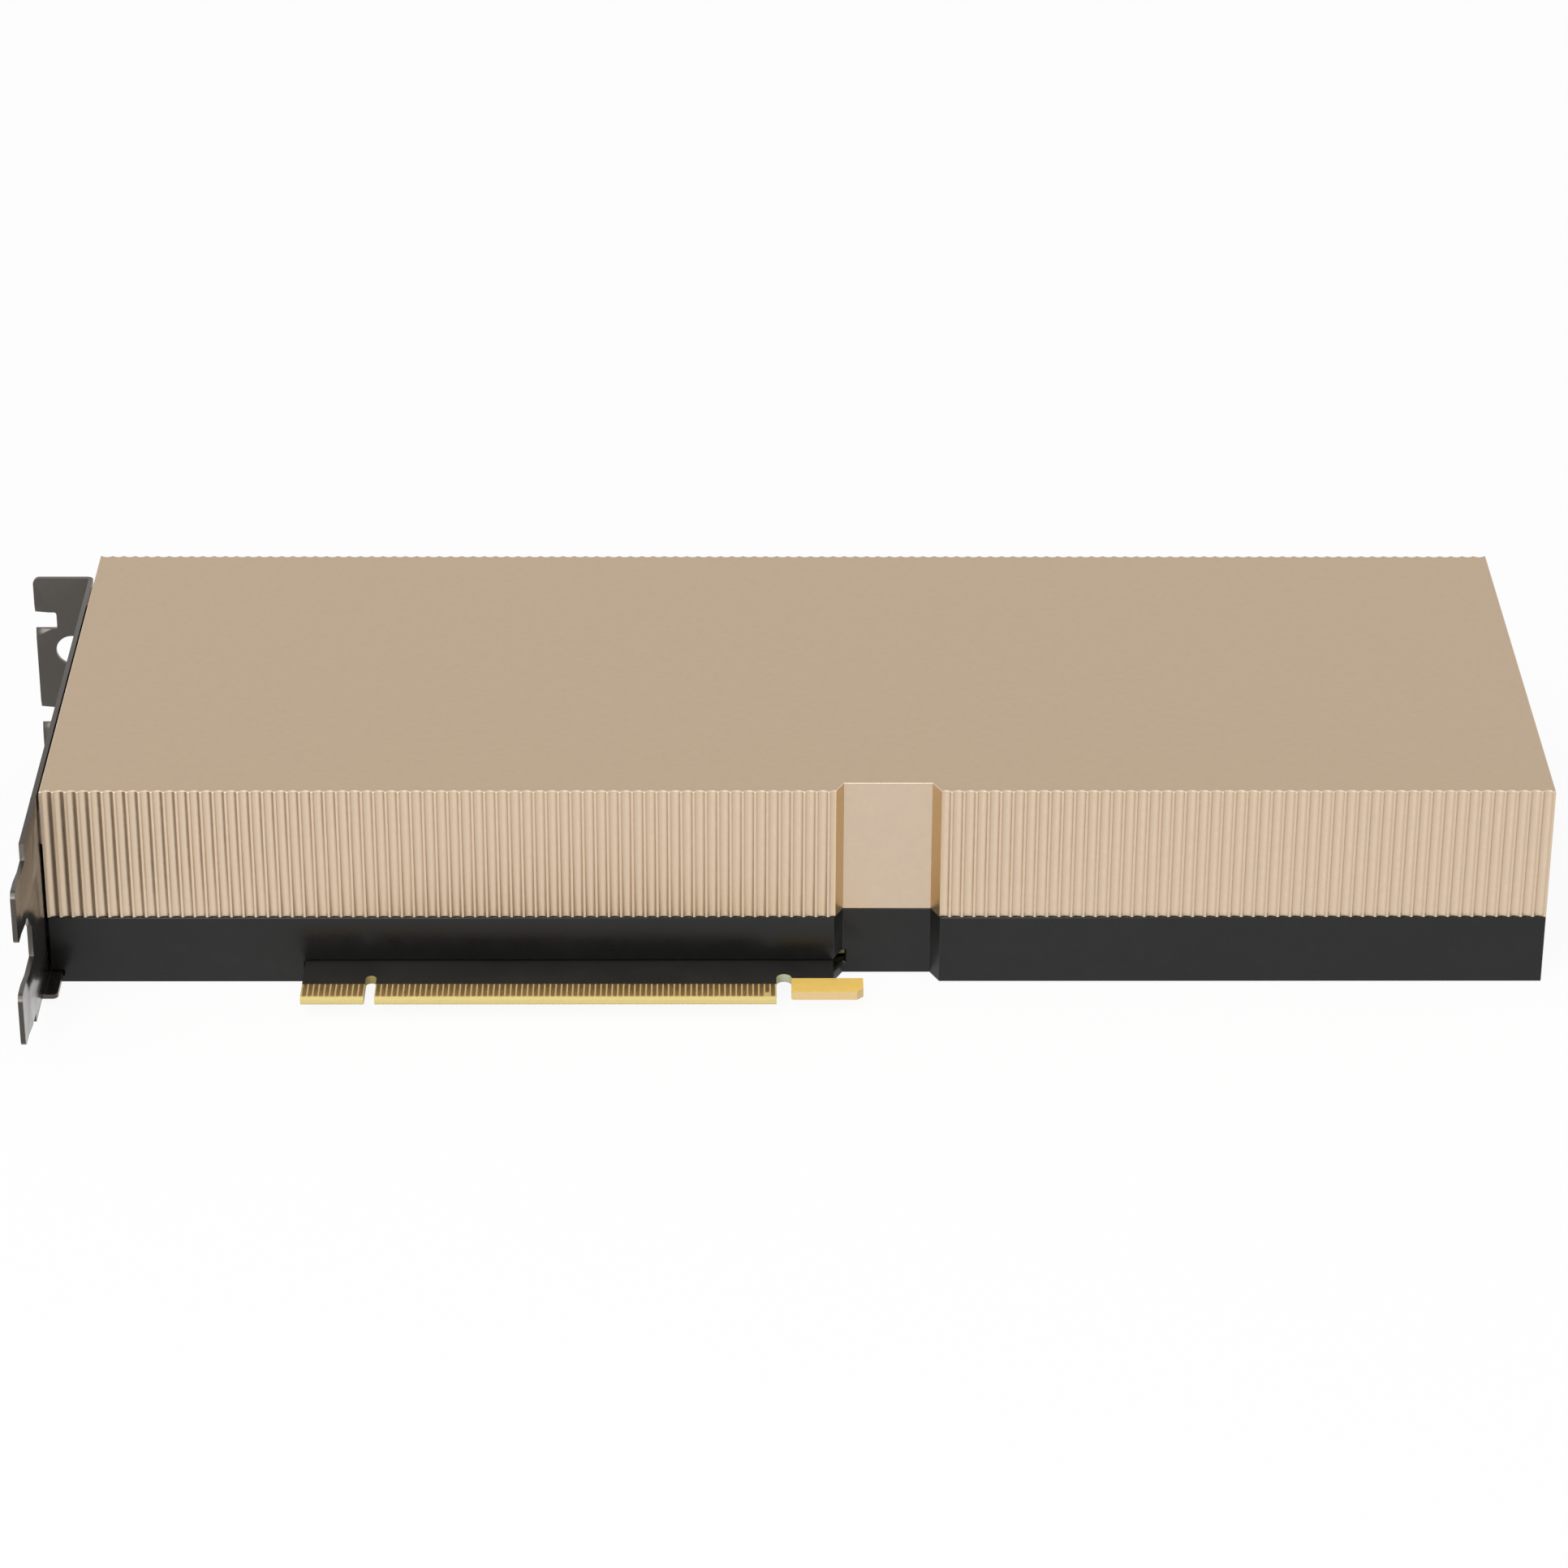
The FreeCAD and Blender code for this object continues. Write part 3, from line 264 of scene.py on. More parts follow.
def break_edges(bm, width, steps=2, angle=35, shortest=0, keep=None):
    """Rounds the sharp edges a little, as tumbling or deburring leaves them."""
    sharp = [edge for edge in bm.edges if len(edge.link_faces) == 2
             and edge.calc_face_angle(0) > math.radians(angle)
             and edge.calc_length() > shortest and (keep is None or keep(edge))]
    bmesh.ops.bevel(bm, geom=sharp, offset=width, offset_type="OFFSET", segments=steps,
                    profile=0.5, affect="EDGES", clamp_overlap=True)


def is_square(face):
    """Whether a face is square to one of the axes, as the flat sides are."""
    return max(map(abs, face.normal)) >= 0.99999


def is_level(face):
    """Whether a face lies flat, as a roof or a floor does."""
    return abs(face.normal.z) > 0.99


def is_upright(face):
    """Whether a face stands up, as a wall does."""
    return abs(face.normal.z) < 0.1


# ---------------------------------------------------------------- materials

def new_material(name, colour, roughness, metallic=0.0, specular=0.5, coat=0.0):
    """A Principled material; returns it with its node tree and its shader."""
    material = bpy.data.materials.new(name)
    material.use_nodes = True
    tree = material.node_tree
    shader = tree.nodes["Principled BSDF"]
    shader.inputs["Base Color"].default_value = (*colour, 1)
    shader.inputs["Roughness"].default_value = roughness
    shader.inputs["Metallic"].default_value = metallic
    shader.inputs["Specular IOR Level"].default_value = specular
    shader.inputs["Coat Weight"].default_value = coat
    return material, tree, shader


def noise(tree, scale, detail=3, stretch=(1, 1, 1)):
    """A noise texture in the object's own coordinates, stretched along the axes."""
    place = tree.nodes.new("ShaderNodeTexCoord")
    mapping = tree.nodes.new("ShaderNodeMapping")
    mapping.inputs["Scale"].default_value = stretch
    texture = tree.nodes.new("ShaderNodeTexNoise")
    texture.inputs["Scale"].default_value = scale
    texture.inputs["Detail"].default_value = detail
    tree.links.new(place.outputs["Object"], mapping.inputs["Vector"])
    tree.links.new(mapping.outputs["Vector"], texture.inputs["Vector"])
    return texture.outputs["Fac"]


def spread(tree, value, low, high, low_in=0.3, high_in=0.7):
    """A value between low and high, following another one between low_in and high_in."""
    ramp = tree.nodes.new("ShaderNodeMapRange")
    ramp.inputs["From Min"].default_value = low_in
    ramp.inputs["From Max"].default_value = high_in
    ramp.inputs["To Min"].default_value = low
    ramp.inputs["To Max"].default_value = high
    tree.links.new(value, ramp.inputs["Value"])
    return ramp.outputs["Result"]


def vary_colour(tree, shader, texture, low, high):
    """Multiplies the shader's colour by a value between low and high, following a texture."""
    tint = tree.nodes.new("ShaderNodeMix")
    tint.data_type = "RGBA"
    tint.blend_type = "MULTIPLY"
    tint.inputs["Factor"].default_value = 1.0
    tint.inputs["A"].default_value = shader.inputs["Base Color"].default_value[:]
    tree.links.new(spread(tree, texture, low, high), tint.inputs["B"])
    tree.links.new(tint.outputs["Result"], shader.inputs["Base Color"])


def vary_roughness(tree, shader, texture, low, high):
    """Lets the shader's roughness run between low and high, following a texture."""
    tree.links.new(spread(tree, texture, low, high), shader.inputs["Roughness"])


def roughen(tree, shader, texture, strength, depth):
    """Gives the surface a fine relief that follows a texture."""
    bump = tree.nodes.new("ShaderNodeBump")
    bump.inputs["Strength"].default_value = strength
    bump.inputs["Distance"].default_value = depth
    tree.links.new(texture, bump.inputs["Height"])
    tree.links.new(bump.outputs["Normal"], shader.inputs["Normal"])


def blasted_metal(name, colour, roughness, grain, strength):
    """Bead-blasted and anodised metal: an even fine grain."""
    material, tree, shader = new_material(name, colour, roughness, metallic=1.0)
    vary_colour(tree, shader, noise(tree, scale=900), low=0.985, high=1.01)
    dulling = noise(tree, scale=600, detail=2)
    vary_roughness(tree, shader, dulling, low=roughness - 0.02, high=roughness + 0.03)
    roughen(tree, shader, noise(tree, scale=grain, detail=2), strength, GRAIN)
    return material


def gold_roof():
    """The cover's flat roof, blasted finely."""
    return blasted_metal("gold_anodised", (0.482, 0.362, 0.248), 0.34, grain=2600, strength=0.12)


def gold_walls_painted_lit():
    """The walls are blasted more coarsely than the roof, and their colour is painted paler than the roof's,
    a painted lift for the light that falls on them.
    """
    return blasted_metal("gold_anodised_walls_painted_lit", (0.635, 0.505, 0.375), 0.36, grain=1500, strength=0.2)


def gold_recess_floor_painted_shade():
    """The recess has no flutes that catch the light, and looks even; its colour is painted a little darker
    than the walls', as painted shade in the recess.
    """
    return blasted_metal("gold_anodised_recess_painted_shade", (0.57, 0.455, 0.345), 0.36, grain=1500, strength=0.2)


def gold_recess_slopes_painted_reflection():
    """The milled slopes are painted a deeper, more saturated gold: a painted reflection of the recess floor
    that they mirror.
    """
    return blasted_metal("gold_anodised_slopes_painted_reflection", (0.70, 0.52, 0.305), 0.36, grain=1500, strength=0.2)


def gold_edge_painted_highlight():
    """Blasting and anodising leave the sharp top edge dull; its pale colour is a painted highlight along
    the edge.
    """
    return blasted_metal("gold_anodised_edge_painted_highlight", (0.60, 0.49, 0.375), 0.62, grain=1500, strength=0.12)


def black_frame():
    """The tray's black anodising, a little cloudy and with a soft shine."""
    material, tree, shader = new_material("black_anodised", (0.006, 0.006, 0.0058), 0.3, specular=0.31)
    vary_colour(tree, shader, noise(tree, scale=60), low=0.9, high=1.1)
    vary_roughness(tree, shader, noise(tree, scale=400), low=0.26, high=0.36)
    roughen(tree, shader, noise(tree, scale=2600, detail=2), strength=0.1, depth=GRAIN)
    return material


def solder_mask():
    """Black lacquer over the copper, slightly uneven."""
    material, tree, shader = new_material("solder_mask", (0.016, 0.016, 0.0145), 0.42, specular=0.35)
    vary_colour(tree, shader, noise(tree, scale=120), low=0.8, high=1.2)
    roughen(tree, shader, noise(tree, scale=900, stretch=(1, 0.35, 1)), strength=0.12, depth=FINE_GRAIN)
    return material


def laminate(name, colour):
    """Resin over glass weave, which runs along the board's cut edges."""
    material, tree, shader = new_material(name, colour, 0.5, specular=0.3)
    weave = noise(tree, scale=1500, detail=2, stretch=(0.25, 1, 3))
    vary_colour(tree, shader, weave, low=0.97, high=1.03)
    roughen(tree, shader, weave, strength=0.03, depth=FINE_GRAIN)
    return material


def gold_plate():
    """Thin hard gold on the contacts."""
    material, tree, shader = new_material("gold_plating", (0.52, 0.353, 0.184), 0.34, metallic=1.0)
    vary_colour(tree, shader, noise(tree, scale=260), low=0.96, high=1.03)
    vary_roughness(tree, shader, noise(tree, scale=1400), low=0.3, high=0.4)
    return material


def matte_gold(name, colour):
    """Thick matte plating, which keeps its colour where it mirrors nothing bright."""
    material, tree, shader = new_material(name, colour, 0.5, metallic=0.25, specular=0.4)
    vary_colour(tree, shader, noise(tree, scale=700), low=0.97, high=1.02)
    return material


def bracket_metal():
    """Dark nickel plating under lacquer: dim seen straight on, bright at a grazing angle."""
    material, tree, shader = new_material("bracket_steel", (0.067, 0.059, 0.051), 0.25, metallic=0.85,
                                          coat=0.4)
    shader.inputs["Coat Roughness"].default_value = 0.15
    vary_colour(tree, shader, noise(tree, scale=50), low=0.92, high=1.06)
    brushing = noise(tree, scale=700, stretch=(1, 0.06, 1))
    vary_roughness(tree, shader, brushing, low=0.22, high=0.29)
    roughen(tree, shader, brushing, strength=0.03, depth=FINE_GRAIN)
    return material


def simple_metal(name, colour, roughness, stretch=(1, 1, 1)):
    """Bare or plated metal with a fine grain, drawn out along an axis where it was rolled."""
    material, tree, shader = new_material(name, colour, roughness, metallic=1.0)
    grain = noise(tree, scale=900, stretch=stretch)
    vary_colour(tree, shader, grain, low=0.9, high=1.06)
    vary_roughness(tree, shader, grain, low=roughness - 0.05, high=roughness + 0.08)
    roughen(tree, shader, grain, strength=0.06, depth=FINE_GRAIN)
    return material


def simple_plastic(name, colour, roughness, specular=0.4):
    """Moulded plastic, resin or another dull solid."""
    material, tree, shader = new_material(name, colour, roughness, specular=specular)
    grain = noise(tree, scale=1500)
    vary_colour(tree, shader, grain, low=0.88, high=1.1)
    vary_roughness(tree, shader, grain, low=roughness - 0.05, high=roughness + 0.07)
    roughen(tree, shader, grain, strength=0.15, depth=GRAIN)
    return material


def make_finishes():
    """The finish of each material slot in the record."""
    rolled = (0.1, 1, 1)
    return {
        "gold_anodised": gold_roof(),
        "black_anodised": black_frame(),
        "solder_mask": solder_mask(),
        "gold_plating": gold_plate(),
        "bracket_steel": bracket_metal(),
        "screw_steel": simple_metal("screw_steel", (0.05, 0.05, 0.05), 0.35),
        "sink_metal": simple_metal("sink_metal", (0.60, 0.58, 0.55), 0.3, stretch=rolled),
        "fin_metal": simple_metal("fin_metal", (0.72, 0.72, 0.72), 0.32, stretch=rolled),
        "substrate": simple_plastic("substrate", (0.02, 0.08, 0.035), 0.5),
        "silicon": simple_plastic("silicon", (0.05, 0.05, 0.06), 0.12, specular=0.6),
        "paste": simple_plastic("paste", (0.45, 0.45, 0.45), 0.6),
        "stiffener_steel": simple_metal("stiffener_steel", (0.6, 0.6, 0.6), 0.3),
        "ferrite": simple_plastic("ferrite", (0.06, 0.06, 0.06), 0.6),
        "chip_black": simple_plastic("chip_black", (0.02, 0.02, 0.02), 0.45),
        "pad_grey": simple_plastic("pad_grey", (0.3, 0.32, 0.36), 0.8),
        "can_metal": simple_metal("can_metal", (0.7, 0.7, 0.7), 0.3),
        "connector_black": simple_plastic("connector_black", (0.02, 0.02, 0.02), 0.45),
        "pin_metal": simple_metal("pin_metal", (0.75, 0.68, 0.5), 0.25)}


# ---------------------------------------------------------------- cover

def flute_dip(x):
    """How deep a flute lies in the wall at x; nothing on a land."""
    from_middle = (x + END) % PITCH - LAND - CHORD / 2
    if abs(from_middle) >= CHORD / 2:
        return 0.0
    return math.sqrt(FLUTE_RADIUS ** 2 - from_middle ** 2) - (FLUTE_RADIUS - FLUTE_DEPTH)


def wall_shift(wall):
    """How far a wall's inner face moves the ends of the recess's floor apart."""
    return wall * (math.hypot(RECESS_DEPTH, RECESS_SLOPE) - RECESS_SLOPE) / RECESS_DEPTH


def recess_dip(x, wall=0.0):
    """How deep the recess lies at x, or the inner face of the wall that follows it."""
    from_floor = abs(x - RECESS) - RECESS_FLOOR - wall_shift(wall)
    return min(RECESS_DEPTH, max(0.0, RECESS_DEPTH * (1 - from_floor / RECESS_SLOPE)))


def crossing(low, high):
    """Where the recess's slope meets the fluted wall, between two places."""
    above = recess_dip(low) > flute_dip(low)
    for _ in range(HALVINGS):
        middle = (low + high) / 2
        if (recess_dip(middle) > flute_dip(middle)) == above:
            low = middle
        else:
            high = middle
    return (low + high) / 2


def stations():
    """Places along the cover where its section changes, in order, with none crowding a corner."""
    shift = wall_shift(WALL)
    corners, hidden = [-END, END], [-END + END_WALL]
    for side in (-1, 1):
        floor_end = RECESS + side * RECESS_FLOOR
        corners += [floor_end, crossing(floor_end, RECESS + side * (RECESS_MOUTH + PITCH))]
        hidden += [floor_end + side * reach for reach in (shift, shift + RECESS_SLOPE)]
    lands, arcs = [END - LAND], []
    for index in range(FLUTES):
        start = -END + index * PITCH
        lands += [start, start + LAND]
        for step in range(1, FLUTE_STEPS):
            turn = FLUTE_SWING * (2 * step / FLUTE_STEPS - 1)
            arcs.append(start + LAND + CHORD / 2 + FLUTE_RADIUS * math.sin(turn))
    places = []
    for place in corners + lands + arcs + hidden:
        if all(abs(place - other) > CROWDING for other in places):
            places.append(place)
    return sorted(places)


def offset_row(points, inward, amount, slide_ends):
    """A row of outline points moved into the metal. Inward is +1 for the front row and -1 for the
    back one. The row's ends move along it as well if slide_ends is true."""
    normals = [Vector((1, 0))]
    for before, after in zip(points, points[1:]):
        along = (after - before).normalized()
        normals.append(Vector((-along.y, along.x)) * inward)
    normals.append(Vector((-1, 0)))
    moved = []
    for index, point in enumerate(points):
        one, other = normals[index], normals[index + 1]
        shift = (one + other) / max(MITRE_LIMIT, 1 + one.dot(other)) * amount
        if not slide_ends and index in (0, len(points) - 1):
            shift.x = 0
        moved.append(point + shift)
    return moved


def outer_rows(bm, places):
    """The outside of the front and the back wall, as rows of vertices from the seam up to the roof.
    The first two rows break the low edge, and the last three round the top one."""
    half = math.sqrt(0.5)
    levels = [(LOW_BREAK, SEAM, False), (0, SEAM + LOW_BREAK, False), (0, TOP - TOP_BREAK, False),
              (TOP_BREAK * (1 - half), TOP - TOP_BREAK * (1 - half), True), (TOP_BREAK, TOP, True)]
    front = [Vector((x, -SIDE + max(flute_dip(x), recess_dip(x)))) for x in places]
    back = [Vector((x, SIDE - flute_dip(x))) for x in places]
    return [[add_row(bm, offset_row(points, inward, amount, slide_ends), [height] * len(points))
             for amount, height, slide_ends in levels] for points, inward in ((front, 1), (back, -1))]


def inner_rows(bm, places, at_window):
    """The shell's inner corners as rows: front low, front high, back high and back low."""
    front = [Vector((x, WINDOW_FRONT if cut else -SIDE + WALL + recess_dip(x, WALL)))
             for x, cut in zip(places, at_window)]
    back = [Vector((x, WINDOW_BACK if cut else SIDE - WALL)) for x, cut in zip(places, at_window)]
    ceiling = [WINDOW_TOP if cut else ROOF for cut in at_window]
    floor = [SEAM] * len(places)
    return [add_row(bm, front, floor), add_row(bm, front, ceiling),
            add_row(bm, back, ceiling), add_row(bm, back, floor)]


def skin_cover(bm, front_rows, back_rows, inner, last, x):
    """The roof and the walls, section by section. The air window ends with section number last,
    at x, where the end wall's inner face has corners of its own."""
    bm.faces.new(front_rows[-1] + back_rows[-1][::-1])
    window = [corners[last] for corners in inner]
    end_wall = [bm.verts.new((x, y, z)) for y, z in (
        (-SIDE + WALL, SEAM), (-SIDE + WALL, ROOF), (SIDE - WALL, ROOF), (SIDE - WALL, SEAM))]
    behind = dict(zip(window, end_wall))
    loop = front_rows + back_rows[::-1] + inner[::-1]
    strips = list(zip(loop, loop[1:] + loop[:1]))
    del strips[len(front_rows) - 1]  # the roof, which is one face
    for index in range(len(front_rows[0]) - 1):
        for lower, upper in strips:
            quad = [lower[index], lower[index + 1], upper[index + 1], upper[index]]
            if index == last:
                quad = [behind.get(corner, corner) for corner in quad]
            bm.faces.new(quad)
    for number in range(3):
        bm.faces.new([window[number], window[number + 1], end_wall[number + 1], end_wall[number]])
    bm.faces.new([window[0], end_wall[0], front_rows[0][last]])
    bm.faces.new([window[3], end_wall[3], back_rows[0][last]])


def close_ends(bm, front_rows, back_rows, inner):
    """The cover's end faces, with the round of the top carried across them."""
    flat_rows = 3
    for end in (0, -1):
        front = [vertices[end] for vertices in front_rows]
        back = [vertices[end] for vertices in back_rows]
        for level in range(flat_rows - 1, len(front) - 1):
            bm.faces.new([front[level], front[level + 1], back[level + 1], back[level]])
        bm.faces.new(front[:flat_rows] + back[:flat_rows][::-1] + [corners[end] for corners in inner[::-1]])


def add_posts(bm):
    """The posts for the screws from below, and the blocks for the bracket's screws."""
    high = ROOF + OVERLAP
    for x, y in COVER_SCREWS:
        add_box(bm, (x - POST / 2, y - POST / 2, COVER_LOW.z), (x + POST / 2, y + POST / 2, high))
    for y, _ in BRACKET_SCREWS:
        add_box(bm, (COVER_LOW.x, y - BLOCK / 2, BLOCK_LOW), (-END + BLOCK, y + BLOCK / 2, high))


def paint_cover(bm):
    """Gives each face its finish, by the numbers that make_cover's materials have."""
    roof, walls, edge, recess_floor, recess_slopes = range(5)
    bm.normal_update()
    for face in bm.faces:
        middle = face.calc_center_median()
        from_recess = abs(middle.x - RECESS)
        if is_level(face):
            face.material_index = roof
        elif middle.z > TOP - TOP_BREAK:
            # The top edge's round: painted pale, a painted highlight along the edge.
            face.material_index = edge
        elif middle.y > 0 or from_recess > RECESS_MOUTH:
            # Walls: the anodising copy painted paler than the roof, standing in for light.
            face.material_index = walls
        else:
            # Recess: the floor painted darker as shade, the slopes painted with the floor's reflection.
            face.material_index = recess_floor if from_recess < RECESS_FLOOR else recess_slopes


def make_cover(roof, walls, edge, recess_floor, recess_slopes):
    """Fluted shell with a small round on its top edges, a recess and an open tail."""
    places = stations()
    at_window = [x <= -END + END_WALL + JOIN for x in places]
    last = at_window.index(False) - 1
    bm = bmesh.new()
    front_rows, back_rows = outer_rows(bm, places)
    inner = inner_rows(bm, places, at_window)
    skin_cover(bm, front_rows, back_rows, inner, last, places[last])
    close_ends(bm, front_rows, back_rows, inner)
    add_posts(bm)
    paint_cover(bm)
    cover = add_object("cover_shell", bm, [roof, walls, edge, recess_floor, recess_slopes],
                       sharp=16)
    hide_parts("cover")


# ---------------------------------------------------------------- frame

def make_frame(material):
    """The tray with its edges broken, and the slot's far end bevelled where it opens in the recess."""
    bm = copy_of("frame")
    slot_end = RECESS - RECESS_FLOOR
    into_slot, past_slot, deeper, round_board = 3 * MM, 0.6 * MM, 0.2 * MM, 0.5 * MM

    def at_slot_end(edge):
        """Whether an edge lies round the slot's far end."""
        middle = (edge.verts[0].co + edge.verts[1].co) / 2
        return (slot_end - into_slot < middle.x < slot_end + past_slot
                and middle.y < -SIDE + RECESS_DEPTH + deeper
                and BOARD_LOW.z - round_board < middle.z < BOARD_HIGH.z + round_board)

    break_edges(bm, SLOT_BEVEL, steps=1, keep=at_slot_end)
    break_edges(bm, FRAME_BREAK, shortest=FRAME_SHORTEST)
    tray = add_object("frame_tray", bm, [material])
    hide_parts("frame")


# ---------------------------------------------------------------- circuit board

def paint_board(bm):
    """Gives each face its finish, by the numbers that make_board's materials have."""
    mask, bare, key_notch_painted_shade, routed_gap = range(4)
    bm.normal_update()
    for face in bm.faces:
        middle = face.calc_center_median()
        bare_from = PAD_BACK if middle.x < HOOK_LOW.x else HOOK_HIGH.y
        face.material_index = mask if is_level(face) and middle.y > bare_from else bare
        if is_upright(face) and middle.y > PAD_FRONT:
            if abs(middle.x - KEY) < KEY_REACH:
                # The key notch's walls: laminate painted darker, as painted shade inside the narrow notch.
                face.material_index = key_notch_painted_shade
            elif TONGUE_END - ROOM < middle.x < HOOK_LOW.x + ROOM:
                face.material_index = routed_gap


def make_board(mask, bare, key_notch_painted_shade, routed_gap):
    """The board: solder mask on its faces, bare laminate on its cut edges and round the contacts."""
    bm = copy_of("circuit_board")
    for y in (PAD_BACK, HOOK_HIGH.y):
        bmesh.ops.bisect_plane(bm, geom=bm.verts[:] + bm.edges[:] + bm.faces[:],
                               plane_co=(0, y, 0), plane_no=(0, 1, 0))
    paint_board(bm)
    board = add_object("board_with_mask", bm, [mask, bare, key_notch_painted_shade, routed_gap])
    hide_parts("circuit_board")


def pad_outline(x, front, stub):
    """A contact in plan: straight sides, and small shoulders at the stub of its plating tail."""
    half, tail, shoulder = PAD_WIDTH / 2, STUB_WIDTH / 2, front - PAD_SHOULDER
    points = [(x - half, PAD_BACK), (x - half, front)]
    if stub:
        points += [(x - tail, shoulder), (x - tail, STUB_END), (x + tail, STUB_END), (x + tail, shoulder)]
    return points + [(x + half, front), (x + half, PAD_BACK)]


def make_contacts(node, low, high, sensing, material):
    """One face's contacts; the sensing one is shorter and has no plating tail."""
    places = [KEY - FIRST_PAD - step * PAD_PITCH for step in range(PADS_BEFORE)][::-1]
    places += [KEY + FIRST_PAD + step * PAD_PITCH for step in range(PADS_AFTER)]
    bm = bmesh.new()
    for number, x in enumerate(places):
        short = number == sensing
        front = PAD_FRONT + (SENSE_SHORT if short else 0)
        add_prism(bm, pad_outline(x, front, stub=not short), low, high)
    pads = add_object(f"{node}_plated", bm, [material])
    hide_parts(node)


def make_hook(material, edge_material_painted_shade):
    """Plating round the retention hook: both faces and the cut edges."""
    left, right = HOOK_LOW.x - HOOK_SKIN, HOOK_HIGH.x + HOOK_SKIN
    front, back = HOOK_LOW.y, HOOK_HIGH.y
    points = [(right, back), (right, front + HOOK_CUT), (right - HOOK_CUT, front - HOOK_SKIN)]
    for step in range(HOOK_STEPS + 1):
        turn = math.pi / 2 * step / HOOK_STEPS
        points.append((left + HOOK_ROUND * (1 - math.sin(turn)),
                       front - HOOK_SKIN + HOOK_ROUND * (1 - math.cos(turn))))
    points.append((left, back))
    bm = bmesh.new()
    # The cut edges get their own material, painted darker than the faces as painted shade.
    add_prism(bm, points, HOOK_LOW.z, HOOK_HIGH.z, wall=1)
    break_edges(bm, HOOK_BREAK, keep=lambda edge: abs(edge.verts[0].co.z - edge.verts[1].co.z) < SAME)
    hook = add_object("hook_gold", bm, [material, edge_material_painted_shade])
    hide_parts("hook_plating")


# ---------------------------------------------------------------- bracket, screws and socket

def cut_corner(bm, corner, reach):
    """Cuts a corner with three edges off by a plane, at a reach along each axis from it."""
    cuts = {}
    for edge in corner.link_edges:
        far = edge.other_vert(corner)
        along = (far.co - corner.co).normalized()
        axis = max(range(3), key=lambda number: abs(along[number]))
        cuts[far] = bm.verts.new(corner.co + along * reach[axis])
    for face in corner.link_faces[:]:
        ring = list(face.verts)
        place = ring.index(corner)
        after = ring[(place + 1) % len(ring)]
        ring[place:place + 1] = [cuts[ring[place - 1]], cuts[after]]
        bm.faces.new(ring)
    bmesh.ops.delete(bm, geom=[corner], context="VERTS")
    bm.faces.new(list(cuts.values()))


def make_bracket(material):
    """The folded sheet with its edges broken, and a lead-in pressed at each notch's mouth."""
    bm = copy_of("slot_bracket")
    tip = [vert for vert in bm.verts if vert.co.x < BRACKET_LOW.x + SAME
           and BRACKET_LOW.z + FLANGE_MARGIN < vert.co.z < BRACKET_HIGH.z - FLANGE_MARGIN]
    near = min(vert.co.y for vert in tip)
    for corner in [vert for vert in tip if vert.co.y < near + SAME and len(vert.link_edges) == 3]:
        cut_corner(bm, corner, LEAD_IN)
    bmesh.ops.recalc_face_normals(bm, faces=bm.faces)
    break_edges(bm, BRACKET_BREAK, shortest=BRACKET_SHORTEST)
    bracket = add_object("bracket_sheet", bm, [material])
    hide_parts("slot_bracket")


def add_screw(bm, place, outward, profile, flat, deep):
    """A turned screw with a hexagonal socket. The profile gives (radius, distance outward) pairs;
    flat is half the socket's width and deep its depth."""
    axis = Vector(outward)
    side = axis.orthogonal().normalized()
    up = axis.cross(side)
    turns = [math.tau * step / SCREW_SIDES for step in range(SCREW_SIDES)]

    def hexagon(turn):
        """Distance from the middle to the socket's side, in the direction of a turn."""
        return flat / math.cos((turn % (math.pi / 3)) - math.pi / 6)

    def ring(reaches, level):
        """A ring of vertices round the axis, each at its own reach."""
        return [bm.verts.new(Vector(place) + axis * level
                             + (side * math.cos(turn) + up * math.sin(turn)) * reach)
                for turn, reach in zip(turns, reaches)]

    top = profile[-1][1]
    rings = [ring([radius] * SCREW_SIDES, level) for radius, level in profile]
    rings += [ring([hexagon(turn) for turn in turns], level) for level in (top, top - deep)]
    for lower, upper in zip(rings, rings[1:]):
        for index in range(SCREW_SIDES):
            following = (index + 1) % SCREW_SIDES
            bm.faces.new([lower[index], lower[following], upper[following], upper[index]])
    bm.faces.new(rings[0][::-1])
    bm.faces.new(rings[-1])


def make_bracket_screws(material):
    """Screws on the bracket's outer face, with low heads that round in towards their tops."""
    low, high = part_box("bracket_screws")
    height = BRACKET_PLATE - low.x
    profile = [(ROUND_SHANK, height - (high.x - low.x)), (ROUND_SHANK, 0), (ROUND_HEAD, 0),
               (ROUND_HEAD, height * 0.45), (ROUND_HEAD * 0.93, height * 0.8), (ROUND_HEAD * 0.78, height)]
    bm = bmesh.new()
    for y, z in BRACKET_SCREWS:
        add_screw(bm, (BRACKET_PLATE, y, z), (-1, 0, 0), profile, flat=0.8 * MM, deep=0.7 * MM)
    screws = add_object("bracket_screws_driven", bm, [material])
    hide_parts("bracket_screws")


def make_sunk_screws(node, places, material):
    """Countersunk screws, flush with the underside and with a short straight rim."""
    low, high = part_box(node)
    rim = SUNK_HEAD - SUNK_RIM
    profile = [(SUNK_SHANK, low.z - high.z), (SUNK_SHANK, SUNK_SHANK - SUNK_HEAD), (rim, -SUNK_RIM),
               (rim, 0)]
    bm = bmesh.new()
    for x, y in places:
        add_screw(bm, (x, y, low.z), (0, 0, -1), profile, flat=0.75 * MM, deep=0.6 * MM)
    screws = add_object(f"{node}_driven", bm, [material])
    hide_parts(node)


def make_socket(material):
    """The power socket with its moulded edges softened."""
    bm = copy_of("power_connector")
    break_edges(bm, SOCKET_BREAK)
    socket = add_object("power_socket", bm, [material])
    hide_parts("power_connector")


# ---------------------------------------------------------------- camera, light and floor

